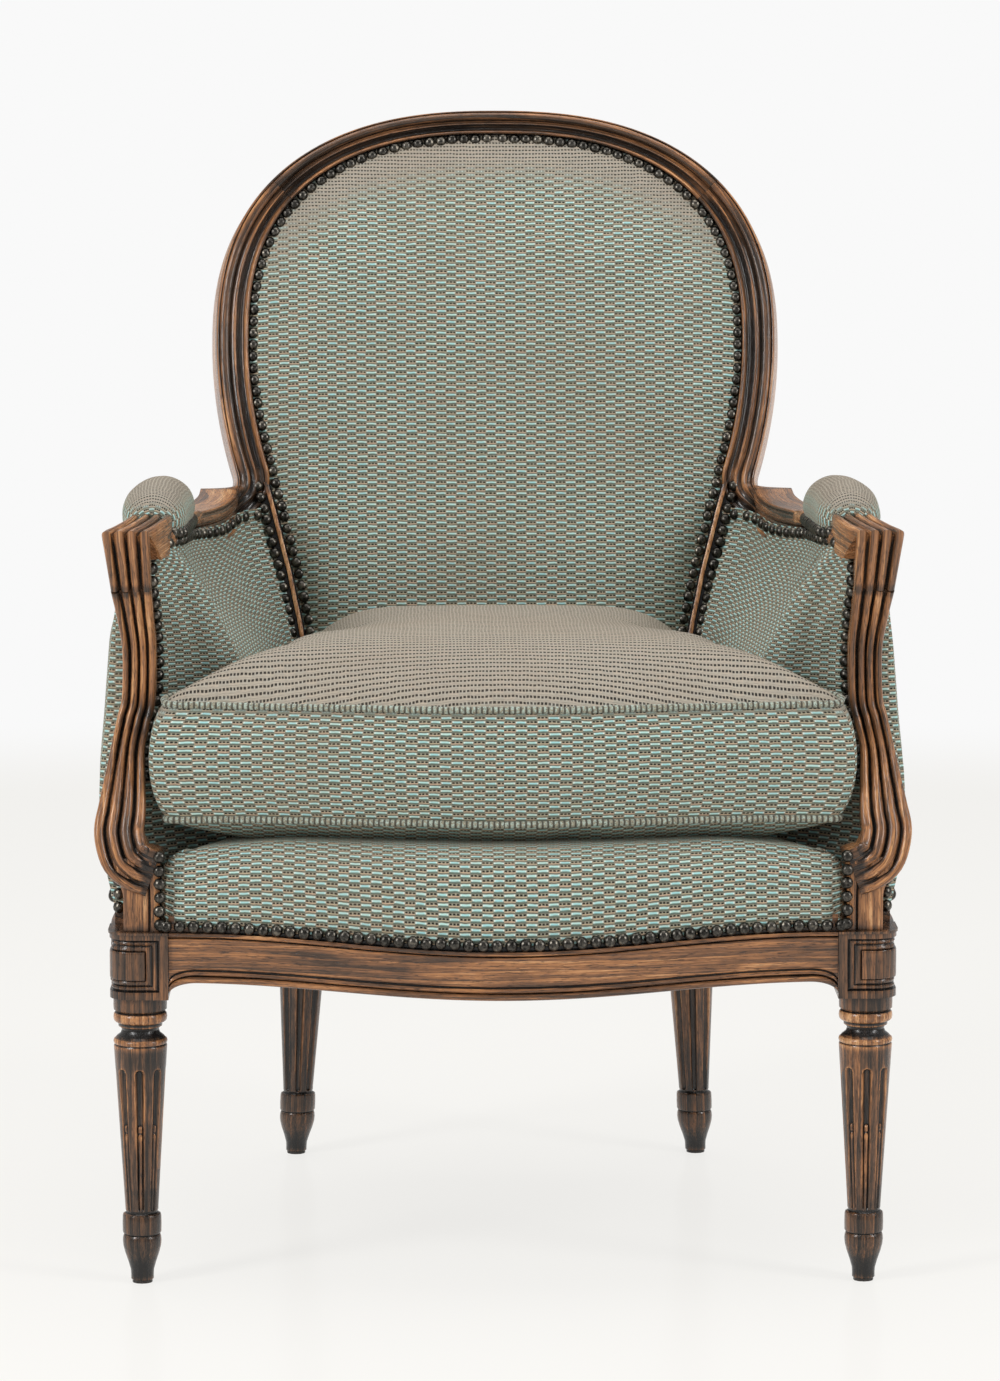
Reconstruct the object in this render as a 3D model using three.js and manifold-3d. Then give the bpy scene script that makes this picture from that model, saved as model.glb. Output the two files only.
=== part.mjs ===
// A Louis XVI style bergere: a turned and moulded beech frame with an arched back, closed upholstered
// arms, arm pads, a sprung deck and a loose seat cushion.
// Millimetres, +Z up. The chair faces -Y, and its origin is on the floor under the middle of its box.
import * as THREE from "three";
import { mergeVertices } from "three/addons/utils/BufferGeometryUtils.js";
import Module from "manifold-3d";

const wasm = await Module();
wasm.setup();

// Clearances and overruns
const gap = 0.3; // between pieces that touch
const overrun = 5; // how far a cutting solid runs past what it cuts
const tidy = 0.06; // flats this near to each other become one

// Driving dimensions
const leg = {
  axisX: 306, // half the spacing of the front legs
  height: 247, // floor to the underside of the block
  radius: 23.2,
  fluteDepth: 3.2,
};
const glide = { radius: 8.5, height: 2.4 };
const block = {
  size: 50,
  height: 57,
  round: 20,
  frameWidth: 9,
  channelWidth: 9,
  channelDepth: 1.8,
  quirkInset: 2.4,
  quirkDepth: 1.6,
};
const rearLeg = {
  axisX: 179, // half the spacing at the block
  axisY: 470, // behind the front leg axis
  splay: 9, // how far the foot stands outwards
  rake: 40, // and backwards
  blockSize: 44,
};
const rail = {
  lift: 4, // lowest edge over the underside of the blocks
  height: 67, // from the lowest edge to the hidden top
  thickness: 28,
  bow: 50, // front rail, forwards at its middle
  bowEnd: 5.7, // from where the bow starts to the block
  bottomDip: 6.5,
  kneeDrop: 10,
  kneeLength: 34,
  faceDip: 8,
  relief: 2.2,
  rebate: 3, // set back for the cover and its nails
  webLedge: 8, // underside cut up for the webbing
  lipShare: 0.45,
  tenonLength: 20,
  tenonHeight: 26,
  tenonThickness: 10,
};
const sideRail = { bulge: 8, rearTuck: 72, frontRun: 165, rearRun: 87 };
const post = {
  height: 285, // from the block to the joint under the arm's head
  outset: 5.5, // outside the front leg's axis
  width: 34,
  depth: 31,
  relief: 4.5,
  swing: 20, // how far the foot of the S swings out past its top
  sweep: 69, // how far its waist lies behind the block's face
  baseWidth: 30,
  baseTopWidth: 40,
  baseDepth: 46,
  baseHeight: 62,
  baseSet: 3, // behind the block's face
};
const arm = {
  rearInset: 2.5, // inside the arch's widest place
  rearSet: 8, // behind the rear leg's axis
  lowRise: 17, // from the post's top to the middle of the rail where it is lowest
  rise: 12, // up to its front
  outset: 8.5, // its front, outside the front leg's axis
  frontY: -4,
  height: 34,
  thickness: 30,
  relief: 5,
  coreWidth: 44, // under the pad
  earRise: 6,
  flangeShare: 0.3, // nail rebate below the mouldings, as a share of the height
  frontWidth: 40,
  headWidth: 35, // where the head meets the pad
  frontRise: 52, // from the post's top to the top of the head
  lipRise: 7,
  headRun: 66, // from the front edge to the pad
};
const back = {
  rise: 176, // from the block's top to where the back plane is pinned
  recline: THREE.MathUtils.degToRad(12.5),
  hollow: 20, // concave in plan
  halfWidth: 259.5, // arch, outside
  archRise: 219, // from the widest place to the top
  widestS: 290, // up the back from seatZ
  archPower: 2.4,
  sideRadius: 420,
  jointAngle: THREE.MathUtils.degToRad(50),
  sideMoulding: 33,
  topMoulding: 22,
  relief: 8,
  depth: 30,
  turnRise: 36.94, // over the arm, where the mouldings leave the arch for it
};
const stile = {
  width: 26,
  beadWidth: 4,
  beadRise: 4,
  topInset: 35.5, // inside the arch's widest place
  footS: -183, // down the back, on the block
  topDrop: 8, // below the turn of the mouldings
  footSet: 9,
};
const backRail = { height: 30, thickness: 20, s: -85 };
const webbing = { width: 48, thickness: 1.6, backPitch: 94, spanShare: 0.94 };
const spring = {
  wire: 3.6,
  waist: 20,
  end: 33,
  pitchX: 96,
  pitchY: 108,
  middleY: 190,
};
const deck = { rise: 74, bulge: 9, pocketRise: 42, bow: 50, wallShare: 0.84 };
const seat = {
  sideInset: 18, // its ears' sides, inside the front leg's axis
  cornerY: -16,
  bow: 40,
  cornerRise: 8.6, // its front corners turn back by this much
  earY: 24,
  rearInset: 3, // inside the rear leg's axis
  rearSet: 25, // in front of the rear leg's axis
  rearBow: 13, // into the hollow back
  rearCorner: 20,
  middleY: 190,
  play: 1.2, // between the cushion and the arms
};
const cushion = {
  rise: 91, // from the block's top to its lower welt
  boxing: 97,
  sideLift: 20, // how far the arms push its sides up
  topCrown: 46,
  bulge: 7,
  frontReach: 2,
  welt: 3,
  weltSet: 1, // clear of the edge that it lies along
};
const backPad = { crown: 32, edge: 5, lowS: -66, middleS: 190, margin: 1.5 };
const outBack = { thickness: 5, crown: 9, margin: 13, lowS: -150 };
const armPad = { topRise: 20, foldInset: 102, foldY: 104, lap: 14, frontY: 30, proud: 5 };
const outArm = { thickness: 6, bulge: 21.5, topLap: 2, play: 0.9 };
const manchette = { width: 57, height: 38, length: 240 };
const brace = { leg: 62, height: 34 };
const dustCover = { thickness: 1.2, drop: 3 };

// Worked out from the driving dimensions
const blockTop = leg.height + block.height;
const railBottom = leg.height + rail.lift;
const railTop = railBottom + rail.height;
const ledgeZ = railBottom + rail.webLedge + rail.bottomDip;
const frontFace = -block.size / 2;
const railEnd = leg.axisX - block.size / 2 - gap;
const bowSpan = railEnd - rail.bowEnd;
const postX = leg.axisX + post.outset;
const postTopZ = blockTop + post.height;
const armRearX = back.halfWidth - arm.rearInset;
const armRearY = rearLeg.axisY + arm.rearSet;
const armFrontX = leg.axisX + arm.outset;
const armLowZ = postTopZ + arm.lowRise;
const headTopZ = postTopZ + arm.frontRise;
const backZ = blockTop + back.rise;
const turnS = (armLowZ - backZ) / Math.cos(back.recline) + back.turnRise;
const stileTopX = back.halfWidth - stile.topInset;
const stileTopS = turnS - stile.topDrop;
const deckTopZ = blockTop + deck.rise;
const pocketZ = blockTop + deck.pocketRise;
const seatHalf = leg.axisX - seat.sideInset;
const seatRearHalf = rearLeg.axisX - seat.rearInset;
const seatRearY = rearLeg.axisY - seat.rearSet;
const cushionLowZ = blockTop + cushion.rise;
const padTopZ = postTopZ + armPad.topRise;
const foldX = leg.axisX - armPad.foldInset;

// How many
const legSides = 12;
const fluteCount = 8;
const glideSides = 12;
const springTurns = 3.5;
const springRowCount = 3;
const springSteps = 19;
const wireSides = 3;

// Materials
const paint = (color, roughness) => new THREE.MeshStandardMaterial({ color, roughness, metalness: 0 });
const wood = paint(0x4a2f1e, 0.38);
const fabric = paint(0x8c948a, 0.9);
const jute = paint(0x9a8157, 0.95);
const cambric = paint(0x1d1d1f, 0.95);
const steel = new THREE.MeshStandardMaterial({ color: 0x6d6f72, roughness: 0.4, metalness: 0.9 });
const nylon = paint(0x2a2622, 0.5);

const v2 = (x, y) => new THREE.Vector2(x, y);
const v3 = (x, y, z) => new THREE.Vector3(x, y, z);
const lerp = THREE.MathUtils.lerp;
const smooth = (x, low, high) => THREE.MathUtils.smoothstep(x, low, high);
const range = (n) => Array.from({ length: n }, (_, i) => i);
const steps = (n) => range(n + 1).map((i) => i / n);

// A geometry as a solid that can be joined and cut.
function solidOf(geometry) {
  const bare = geometry.clone();
  bare.deleteAttribute("normal");
  bare.deleteAttribute("uv");
  const merged = mergeVertices(bare, 1e-4);
  const index = merged.index.array;
  const kept = [];
  for (let i = 0; i < index.length; i += 3) {
    const [a, b, c] = [index[i], index[i + 1], index[i + 2]];
    if (a !== b && b !== c && c !== a) kept.push(a, b, c);
  }
  return new wasm.Manifold(
    new wasm.Mesh({
      numProp: 3,
      vertProperties: new Float32Array(merged.attributes.position.array),
      triVerts: new Uint32Array(kept),
    }),
  );
}

const largest = (solid) => solid.decompose().sort((a, b) => b.volume() - a.volume())[0];

// A solid as a geometry again.
function geometryOf(solid) {
  const made = largest(solid.simplify(tidy)).getMesh();
  const geometry = new THREE.BufferGeometry();
  geometry.setAttribute("position", new THREE.BufferAttribute(made.vertProperties, 3));
  geometry.setIndex(new THREE.BufferAttribute(made.triVerts, 1));
  geometry.computeVertexNormals();
  return geometry;
}

const join = (...solids) => solids.reduce((a, b) => a.add(b));
const cut = (solid, ...tools) => tools.reduce((a, b) => a.subtract(b), solid);

// Makes room in a soft piece for the hard ones that it lies against, a gap wide all round.
const sideways = [-1, 1].flatMap((k) => [
  [k * gap, 0, 0],
  [0, k * gap, 0],
  [0, 0, k * gap],
]);
const around = (solid, hard) => sideways.reduce((left, shift) => left.subtract(hard.translate(shift)), solid);
const clear = (solid, ...hard) => largest(hard.reduce(around, solid)).simplify(tidy);

// Triangles that fill a ring of points, in the order of the ring.
function fill(ring) {
  const normal = v3(0, 0, 0);
  ring.forEach((p, i) => normal.add(p.clone().cross(ring[(i + 1) % ring.length])));
  const across = ring[1].clone().sub(ring[0]).normalize();
  const up = normal.normalize().clone().cross(across).normalize();
  const flat = ring.map((p) => v2(p.dot(across), p.dot(up)));
  const area = ([a, b, c]) => flat[b].clone().sub(flat[a]).cross(flat[c].clone().sub(flat[a]));
  const faces = THREE.ShapeUtils.triangulateShape(flat, []);
  return faces.map(([a, b, c]) => (area([a, b, c]) < 0 ? [a, c, b] : [a, b, c]));
}

// A closed skin over rings of points, each ring with as many points, with its two ends filled.
function loft(rings) {
  const count = rings[0].length;
  const places = rings.flat();
  const lastRing = (rings.length - 1) * count;
  const faces = [
    ...fill(rings[0]).map(([a, b, c]) => [a, c, b]),
    ...fill(rings.at(-1)).map((face) => face.map((i) => i + lastRing)),
  ];
  range(rings.length - 1).forEach((r) =>
    range(count).forEach((i) => {
      const a = r * count + i;
      const b = r * count + ((i + 1) % count);
      faces.push([a, b, b + count], [a, b + count, a + count]);
    }),
  );
  const volume = faces.reduce((sum, [a, b, c]) => sum + places[a].dot(places[b].clone().cross(places[c])), 0);
  const wound = volume < 0 ? faces.map(([a, b, c]) => [a, c, b]) : faces;
  const geometry = new THREE.BufferGeometry().setFromPoints(places);
  geometry.setIndex(wound.flat());
  return geometry;
}

// One ring of a moulding: its section is in shares of a width and a relief, set square to the run.
// across runs from the inner edge to the outer one, and out is where the moulded face looks.
function mouldingRing(section, station) {
  const { at, across, out, width, relief, depth } = station;
  return section.map(([u, v]) =>
    at
      .clone()
      .addScaledVector(across, (u - 0.5) * width)
      .addScaledVector(out, v > -1 ? v * relief : -depth),
  );
}

const sweep = (section, stations) => solidOf(loft(stations.map((s) => mouldingRing(section, s))));

// A box between two corners.
function boxOf(low, high) {
  const size = high.clone().sub(low);
  const middle = high.clone().add(low).multiplyScalar(0.5);
  const made = new THREE.BoxGeometry(size.x, size.y, size.z);
  return solidOf(made.translate(middle.x, middle.y, middle.z));
}

// An outline in plan, raised between two heights.
function prism(points, low, high) {
  const made = new THREE.ExtrudeGeometry(new THREE.Shape(points), { depth: high - low, bevelEnabled: false });
  return solidOf(made.translate(0, 0, low));
}

// A plain copy of a moulding that is a gap larger all round, to cut room for it in what lies against it.
const blankShares = [
  [0, -1],
  [0, 1],
  [1, 1],
  [1, -1],
];
const flangedBlankShares = [[-arm.flangeShare, -1], [-arm.flangeShare, 0], ...blankShares.slice(1)];
function blankOf(stations, section = blankShares) {
  const grow = (s) => ({ width: s.width + 2 * gap, depth: s.depth + gap, relief: s.relief + gap });
  const grown = stations.map((s) => ({ ...s, ...grow(s) }));
  return sweep(section, grown);
}

// Sections of the mouldings: shares of the width from the inner edge to the outer one, and of the relief.
// A relief share of -1 stands for the back of the piece.
const archSectionShares = [
  [-arm.flangeShare, -1],
  [-arm.flangeShare, 0],
  [-0.01, 0],
  [0.0, 0.72],
  [0.06, 0.85],
  [0.12, 0.3],
  [0.2, 0.36],
  [0.34, 0.73],
  [0.5, 0.62],
  [0.545, 0.42],
  [0.6, 0.8],
  [0.71, 1.0],
  [0.82, 0.82],
  [0.86, 0.55],
  [0.92, 0.6],
  [1.0, 0.1],
  [1.0, -1],
];
const postSectionShares = [
  [0.0, -1],
  [0.0, 0.1],
  [0.06, 0.8],
  [0.18, 0.65],
  [0.24, 0.0],
  [0.31, 0.75],
  [0.39, 1.0],
  [0.47, 0.75],
  [0.51, 0.1],
  [0.57, 0.75],
  [0.65, 1.0],
  [0.73, 0.75],
  [0.79, 0.0],
  [0.85, 0.65],
  [0.95, 0.8],
  [1.0, 0.2],
  [1.0, -1],
];

// Legs

// Turned outline of the foot and ankle, in shares of the leg's radius and height.
const footShares = [
  [0.43, 0.0],
  [0.57, 0.08],
  [0.72, 0.115],
  [0.735, 0.135],
  [0.69, 0.155],
  [0.62, 0.168],
  [0.72, 0.182],
  [0.72, 0.235],
  [0.69, 0.245],
  [0.64, 0.252],
];
// The same for the collar, the scotia and the neck under the block.
const neckShares = [
  [1.03, 0.828],
  [1.03, 0.838],
  [0.75, 0.862],
  [0.715, 0.88],
  [0.79, 0.9],
  [0.93, 0.912],
  [0.975, 0.928],
  [0.88, 0.946],
  [0.97, 0.953],
  [0.97, 1.0],
];
const shaftShares = { bottomRadius: 0.6, topRadius: 0.985, low: 0.25, high: 0.83 };

function turning(shares) {
  const outline = shares.map(([r, z]) => v2(r * leg.radius, z * leg.height));
  const closed = [v2(0, outline[0].y), ...outline, v2(0, outline.at(-1).y)];
  return solidOf(new THREE.LatheGeometry(closed, legSides).rotateX(Math.PI / 2));
}

// Where along the leg the flutes change, in shares of its height, with how deep the flute is cut at its
// edges and along its middle. Front flutes hold a rod in their lower half.
const roddedFluteShares = [
  [shaftShares.low, 0, 0],
  [0.262, 0.75, 0.15],
  [0.54, 0.75, 0.15],
  [0.556, 0.85, 1],
  [0.715, 0.85, 1],
  [0.755, 0, 0],
  [shaftShares.high, 0, 0],
];
const openFluteShares = [
  [shaftShares.low, 0, 0],
  [0.285, 0.85, 1],
  [0.715, 0.85, 1],
  [0.755, 0, 0],
  [shaftShares.high, 0, 0],
];
// Across one flute: shares of the pitch from its middle, and which depth applies there.
const fluteSpanShares = [
  [-0.23, "land"],
  [-0.15, "edge"],
  [0, "middle"],
  [0.15, "edge"],
  [0.23, "land"],
];

function flutedShaft(fluteShares) {
  const pitch = (2 * Math.PI) / fluteCount;
  const rings = fluteShares.map(([up, edge, middle]) => {
    const along = (up - shaftShares.low) / (shaftShares.high - shaftShares.low);
    const radius = leg.radius * lerp(shaftShares.bottomRadius, shaftShares.topRadius, along);
    const depths = { land: 0, edge: edge * leg.fluteDepth, middle: middle * leg.fluteDepth };
    return range(fluteCount).flatMap((k) =>
      fluteSpanShares.map(([span, part]) => {
        const angle = (k + span) * pitch - Math.PI / 2;
        const r = radius - depths[part];
        return v3(r * Math.cos(angle), r * Math.sin(angle), up * leg.height);
      }),
    );
  });
  return solidOf(loft(rings));
}

const turnedLeg = (fluteShares) => join(turning(footShares), flutedShaft(fluteShares), turning(neckShares));

// The block's plan: square, with its outer front corner rounded, drawn in by an inset.
function blockOutline(inset) {
  const half = block.size / 2;
  const low = -half - overrun * Math.sign(inset);
  const side = half - inset;
  const round = block.round - inset;
  const shape = new THREE.Shape();
  shape.moveTo(low, -low);
  shape.lineTo(low, -side);
  shape.absarc(side - round, -side + round, round, -Math.PI / 2, 0);
  shape.lineTo(side, -low);
  return shape;
}

function blockPrism(inset, low, high) {
  const options = { depth: high - low, bevelEnabled: false, curveSegments: 4 };
  const made = new THREE.ExtrudeGeometry(blockOutline(inset), options);
  return solidOf(made.translate(leg.axisX, 0, low));
}

// The skin of the block between two depths, kept to a band inside a margin from its edges.
function channel(depth, margin) {
  const low = leg.height + margin;
  const high = blockTop - margin;
  const skin = cut(blockPrism(0, low, high), blockPrism(depth, low - overrun, high + overrun));
  const half = block.size / 2;
  const corner = v3(leg.axisX - half + margin, -half - overrun, low - overrun);
  const opposite = v3(leg.axisX + half + overrun, half - margin, high + overrun);
  return skin.intersect(boxOf(corner, opposite));
}

// A tenon, or with some growth the mortise that takes it, as a box about its middle.
function tenon(x, y, halfX, halfY, grow) {
  const z = ledgeZ + overrun + rail.tenonHeight / 2;
  const half = v3(halfX + grow, halfY + grow, rail.tenonHeight / 2 + grow);
  return boxOf(v3(x, y, z).sub(half), v3(x, y, z).add(half));
}
const acrossTenon = (x, y, grow = 0) => tenon(x, y, rail.tenonLength, rail.tenonThickness / 2, grow);
const alongTenon = (x, y, grow = 0) => tenon(x, y, rail.tenonThickness / 2, rail.tenonLength, grow);

const railMiddleY = frontFace + rail.thickness / 2 + rail.rebate;
const sideFront = v2(leg.axisX + block.size / 2, block.size / 2 + gap);
const sideRear = v2(rearLeg.axisX + rearLeg.blockSize / 2, rearLeg.axisY - rearLeg.blockSize / 2 - gap);
const rearRailEnd = rearLeg.axisX - rearLeg.blockSize / 2 - gap;
const sideFrontTenon = (grow) => alongTenon(sideFront.x - rail.thickness / 2, sideFront.y, grow);
const sideRearTenon = (grow) => alongTenon(sideRear.x - rail.thickness / 2, sideRear.y, grow);
const rearTenon = (grow) => acrossTenon(rearRailEnd, rearLeg.axisY, grow);
const mirrorX = (solid) => solid.mirror([1, 0, 0]);

function frontLeg() {
  const shaft = turnedLeg(roddedFluteShares).translate([leg.axisX, 0, 0]);
  const inner = block.frameWidth + block.channelWidth;
  const wide = cut(channel(block.channelDepth, block.frameWidth), channel(block.channelDepth, inner));
  const quirkDepth = block.channelDepth + block.quirkDepth;
  const outerQuirk = channel(quirkDepth, block.frameWidth + block.quirkInset);
  const quirk = cut(outerQuirk, channel(quirkDepth, inner - block.quirkInset));
  const base = cut(blockPrism(0, leg.height - gap, blockTop), wide, quirk);
  return cut(
    join(shaft, base),
    acrossTenon(railEnd, railMiddleY, gap),
    sideFrontTenon(gap),
    boxOf(v3(0, -leg.axisX, -overrun), v3(2 * leg.axisX, leg.axisX, glide.height + gap)),
  );
}

// The back

// A place on the back: x across, s up the reclined plane, and forward square to it. The plane is hollow.
function onBack(x, s, forward) {
  const hollow = back.hollow * (1 - (x / back.halfWidth) ** 2);
  const ahead = forward - hollow;
  return v3(
    x,
    rearLeg.axisY + s * Math.sin(back.recline) - ahead * Math.cos(back.recline),
    backZ + s * Math.cos(back.recline) + ahead * Math.sin(back.recline),
  );
}
const backFacing = (x, s) => onBack(x, s, 1).sub(onBack(x, s, 0));

// The arch's outside, as angle from the crown: a superellipse down to its widest place.
function archPlace(angle) {
  const power = 2 / back.archPower;
  return v2(
    back.halfWidth * Math.sin(angle) ** power,
    back.widestS + back.archRise * Math.max(Math.cos(angle), 0) ** power,
  );
}
// Below its widest place the side draws in along a circle.
const sidePlace = (s) => v2(back.halfWidth - (back.widestS - s) ** 2 / (2 * back.sideRadius), s);

function mouldingWidth(s) {
  const rise = THREE.MathUtils.clamp((s - back.widestS) / back.archRise, 0, 1);
  return lerp(back.sideMoulding, back.topMoulding, rise ** 2);
}

// Stations of the moulding over a run of places on the arch's outside.
function archStations(places) {
  return places.map((p, i) => {
    const before = places[Math.max(i - 1, 0)];
    const after = places[Math.min(i + 1, places.length - 1)];
    const normal = v2(before.y - after.y, after.x - before.x).normalize();
    if (i === 0) normal.set(0, 1);
    const width = mouldingWidth(p.y);
    const inset = p.clone().addScaledVector(normal, -width / 2);
    const across = onBack(p.x, p.y, 0).sub(onBack(p.x - normal.x, p.y - normal.y, 0)).normalize();
    const facing = backFacing(p.x, p.y);
    const out = facing.addScaledVector(across, -facing.dot(across)).normalize();
    return { at: onBack(inset.x, inset.y, 0), across, out, width, relief: back.relief, depth: back.depth };
  });
}

const crownSteps = 8;
const shoulderSteps = 6;
const flankSteps = 4;
const archRun = [
  ...steps(crownSteps).map((t) => archPlace(t * back.jointAngle)),
  ...steps(shoulderSteps).slice(1).map((t) => archPlace(lerp(back.jointAngle, Math.PI / 2, t))),
  ...steps(flankSteps).slice(1).map((t) => sidePlace(lerp(back.widestS, turnS, t))),
];
const archHalf = archStations(archRun);

// Planes where the frame's pieces meet, as a normal and its offset, looking down the run of the frame.
function jointPlane(at, run) {
  const normal = run.clone().normalize();
  return { normal, offset: normal.dot(at) };
}
const keepAfter = (solid, plane) => solid.trimByPlane(plane.normal.toArray(), plane.offset + gap / 2);
const keepBefore = (solid, plane) =>
  solid.trimByPlane(plane.normal.clone().negate().toArray(), gap / 2 - plane.offset);
const runOf = (station) => station.out.clone().cross(station.across).negate();

const crestJoint = jointPlane(archHalf[crownSteps].at, runOf(archHalf[crownSteps]));

function crestRail() {
  const right = archHalf.slice(0, crownSteps + 2);
  const flip = (p) => v3(-p.x, p.y, p.z);
  const turned = ({ at, across, out }) => ({ at: flip(at), across: flip(across), out: flip(out) });
  const left = right.slice(1).map((s) => ({ ...s, ...turned(s) }));
  const whole = sweep(archSectionShares, [...left.reverse(), ...right]);
  return mirrorX(keepBefore(mirrorX(keepBefore(whole, crestJoint)), crestJoint));
}

// The arm

// The arm: shares of the way forwards, of the way outwards and of the rise.
const armLineShares = [
  [0, 0, 0.6],
  [0.08, 0.03, 0.25],
  [0.18, 0.19, 0],
  [0.29, 0.42, 0.05],
  [0.39, 0.6, 0.2],
  [0.52, 0.67, 0.5],
  [0.68, 0.69, 0.8],
  [0.863, 0.68, 1],
  [0.95, 0.84, 1],
  [1, 1, 1],
];
const armLine = new THREE.CatmullRomCurve3(armLineShares.map(([y, x, z]) => v3(x, y, z)));

// Middle of the arm rail, at a share of the way along.
function armPlace(t) {
  const share = armLine.getPoint(t);
  return v3(
    lerp(armRearX, armFrontX, share.x),
    lerp(armRearY, arm.frontY, share.y),
    armLowZ + arm.rise * share.z,
  );
}
const nearby = 0.01;
const armRun = (t) => armPlace(Math.min(t + nearby, 1)).sub(armPlace(Math.max(t - nearby, 0))).normalize();
// Where along the arm a distance from the front lies.
function armAt(y) {
  const count = 200;
  const i = range(count + 1).findIndex((k) => armPlace(k / count).y <= y);
  if (i <= 0) return i < 0 ? 1 : 0;
  const [before, after] = [armPlace((i - 1) / count).y, armPlace(i / count).y];
  return (i - (y - after) / (before - after)) / count;
}

// The back of the arm carries the arch's mouldings on its inner side.
function armStation(t) {
  const run = armRun(t);
  const up = v3(0, 0, 1);
  const across = up.addScaledVector(run, -up.dot(run)).normalize();
  const out = run.clone().cross(across);
  const at = armPlace(t).addScaledVector(out, arm.thickness / 2);
  return { at, across, out, width: arm.height, relief: arm.relief, depth: arm.thickness };
}

const mouldedShares = [0, 0.08, 0.16, 0.24, 0.33, 0.42];
const armJoint = jointPlane(armPlace(0), armRun(0));

// The mouldings turn from the arch's side into the arm.
const turnSteps = 6;
const turnReachShare = 0.55;
function turnStations() {
  const from = archHalf.at(-1);
  const to = armStation(0);
  const basis = (s) =>
    new THREE.Quaternion().setFromRotationMatrix(
      new THREE.Matrix4().makeBasis(s.across, s.out, s.across.clone().cross(s.out)),
    );
  const reach = to.at.distanceTo(from.at) * turnReachShare;
  const bend = new THREE.CubicBezierCurve3(
    from.at,
    from.at.clone().addScaledVector(runOf(from), reach),
    to.at.clone().addScaledVector(runOf(to), -reach),
    to.at,
  );
  const first = basis(from);
  const last = basis(to);
  return steps(turnSteps).slice(1, -1).map((t) => {
    const turned = first.clone().slerp(last, smooth(t, 0, 1));
    return {
      at: bend.getPoint(t),
      across: v3(1, 0, 0).applyQuaternion(turned),
      out: v3(0, 1, 0).applyQuaternion(turned),
      width: lerp(from.width, to.width, t),
      relief: lerp(from.relief, to.relief, t),
      depth: lerp(from.depth, to.depth, t),
    };
  });
}

const sideStations = [
  ...archHalf.slice(crownSteps - 1),
  ...turnStations(),
  ...mouldedShares.map((t) => armStation(t)),
];
const frameSide = sweep(archSectionShares, sideStations);

// Stations along a run of points for a moulded face that looks forwards.
function facedStations(points, widths, relief, depth) {
  return points.map((p, i) => {
    const next = points[Math.min(i + 1, points.length - 1)];
    const run = next.clone().sub(points[Math.max(i - 1, 0)]).normalize();
    const ahead = v3(0, -1, 0);
    const out = ahead.addScaledVector(run, -ahead.dot(run)).normalize();
    return { at: p, across: out.clone().cross(run).negate(), out, width: widths[i], relief, depth };
  });
}

// The post: shares of its height, of its swing, of its sweep and of its width, from the curl upwards.
const postShares = [
  [0.172, -0.9, 0.07, 1.15],
  [0.193, -0.175, 0.1, 1.2],
  [0.235, 0.35, 0.16, 1.24],
  [0.295, 0.525, 0.25, 1.24],
  [0.354, 0.425, 0.36, 1.18],
  [0.432, 0.325, 0.54, 1.03],
  [0.523, 0.21, 0.75, 0.85],
  [0.6, 0.0, 0.93, 0.84],
  [0.67, -0.205, 1.0, 0.84],
  [0.793, -0.25, 0.99, 0.84],
  [0.916, -0.125, 0.77, 0.91],
  [1.0, 0.0, 0.58, 1.0],
];
const postPoints = postShares.map(([up, outwards, behind]) =>
  v3(postX + outwards * post.swing, frontFace + behind * post.sweep, blockTop + up * post.height),
);

// The post at a height: its middle, its face and its width.
function postAt(z) {
  const i = Math.max(postPoints.findIndex((p) => p.z > z), 1);
  const last = z >= postPoints.at(-1).z;
  const [low, high] = last ? [postPoints.length - 2, postPoints.length - 1] : [i - 1, i];
  const along = THREE.MathUtils.inverseLerp(postPoints[low].z, postPoints[high].z, z);
  const t = THREE.MathUtils.clamp(along, 0, 1);
  const at = postPoints[low].clone().lerp(postPoints[high], t);
  return { x: at.x, y: at.y, width: post.width * lerp(postShares[low][3], postShares[high][3], t) };
}

// A point past the second of two, in line with them.
const beyond = (from, to) => to.clone().addScaledVector(to.clone().sub(from).normalize(), post.depth);

// The head of the arm: a moulded top that turns over its front edge down to the post.
const headDip = { runShare: 0.4, riseShare: 0.45 };
function headStations() {
  const foot = postPoints.at(-1);
  const top = headTopZ - arm.relief;
  const over = (y, z) => v3(armPlace(armAt(y)).x, y, z);
  const corner = v3(armFrontX, arm.frontY, top);
  const rear = over(arm.frontY + arm.headRun, top + arm.lipRise);
  const middle = over(arm.frontY + arm.headRun * headDip.runShare, top + arm.lipRise * headDip.riseShare);
  const shared = { across: v3(1, 0, 0), relief: arm.relief };
  const up = v3(0, 0, 1);
  const ahead = facedStations([foot, corner], [post.width, arm.frontWidth], post.relief, post.depth)[0].out;
  const mitre = up.clone().add(ahead).divideScalar(1 + up.dot(ahead));
  const middleWidth = lerp(arm.headWidth, arm.frontWidth, headDip.riseShare);
  return [
    { ...shared, at: rear, out: up, width: arm.headWidth, depth: arm.height / 2 },
    { ...shared, at: middle, out: up, width: middleWidth, depth: arm.height / 2 },
    { ...shared, at: corner, out: mitre, width: arm.frontWidth, depth: post.depth },
    { ...shared, at: foot, out: ahead, width: post.width, depth: post.depth },
    { ...shared, at: beyond(corner, foot), out: ahead, width: post.width, depth: post.depth },
  ];
}

// Rounded section of the arm under its pad, in shares of half its width and of half its height.
const coreSectionShares = [
  [-0.66, -1],
  [-0.66, -1 - 2 * arm.flangeShare],
  [0.66, -1 - 2 * arm.flangeShare],
  [0.66, -1],
  [1, -0.7],
  [1, 0.6],
  [0.8, 0.9],
  [-0.8, 0.9],
  [-1, 0.6],
];
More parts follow.
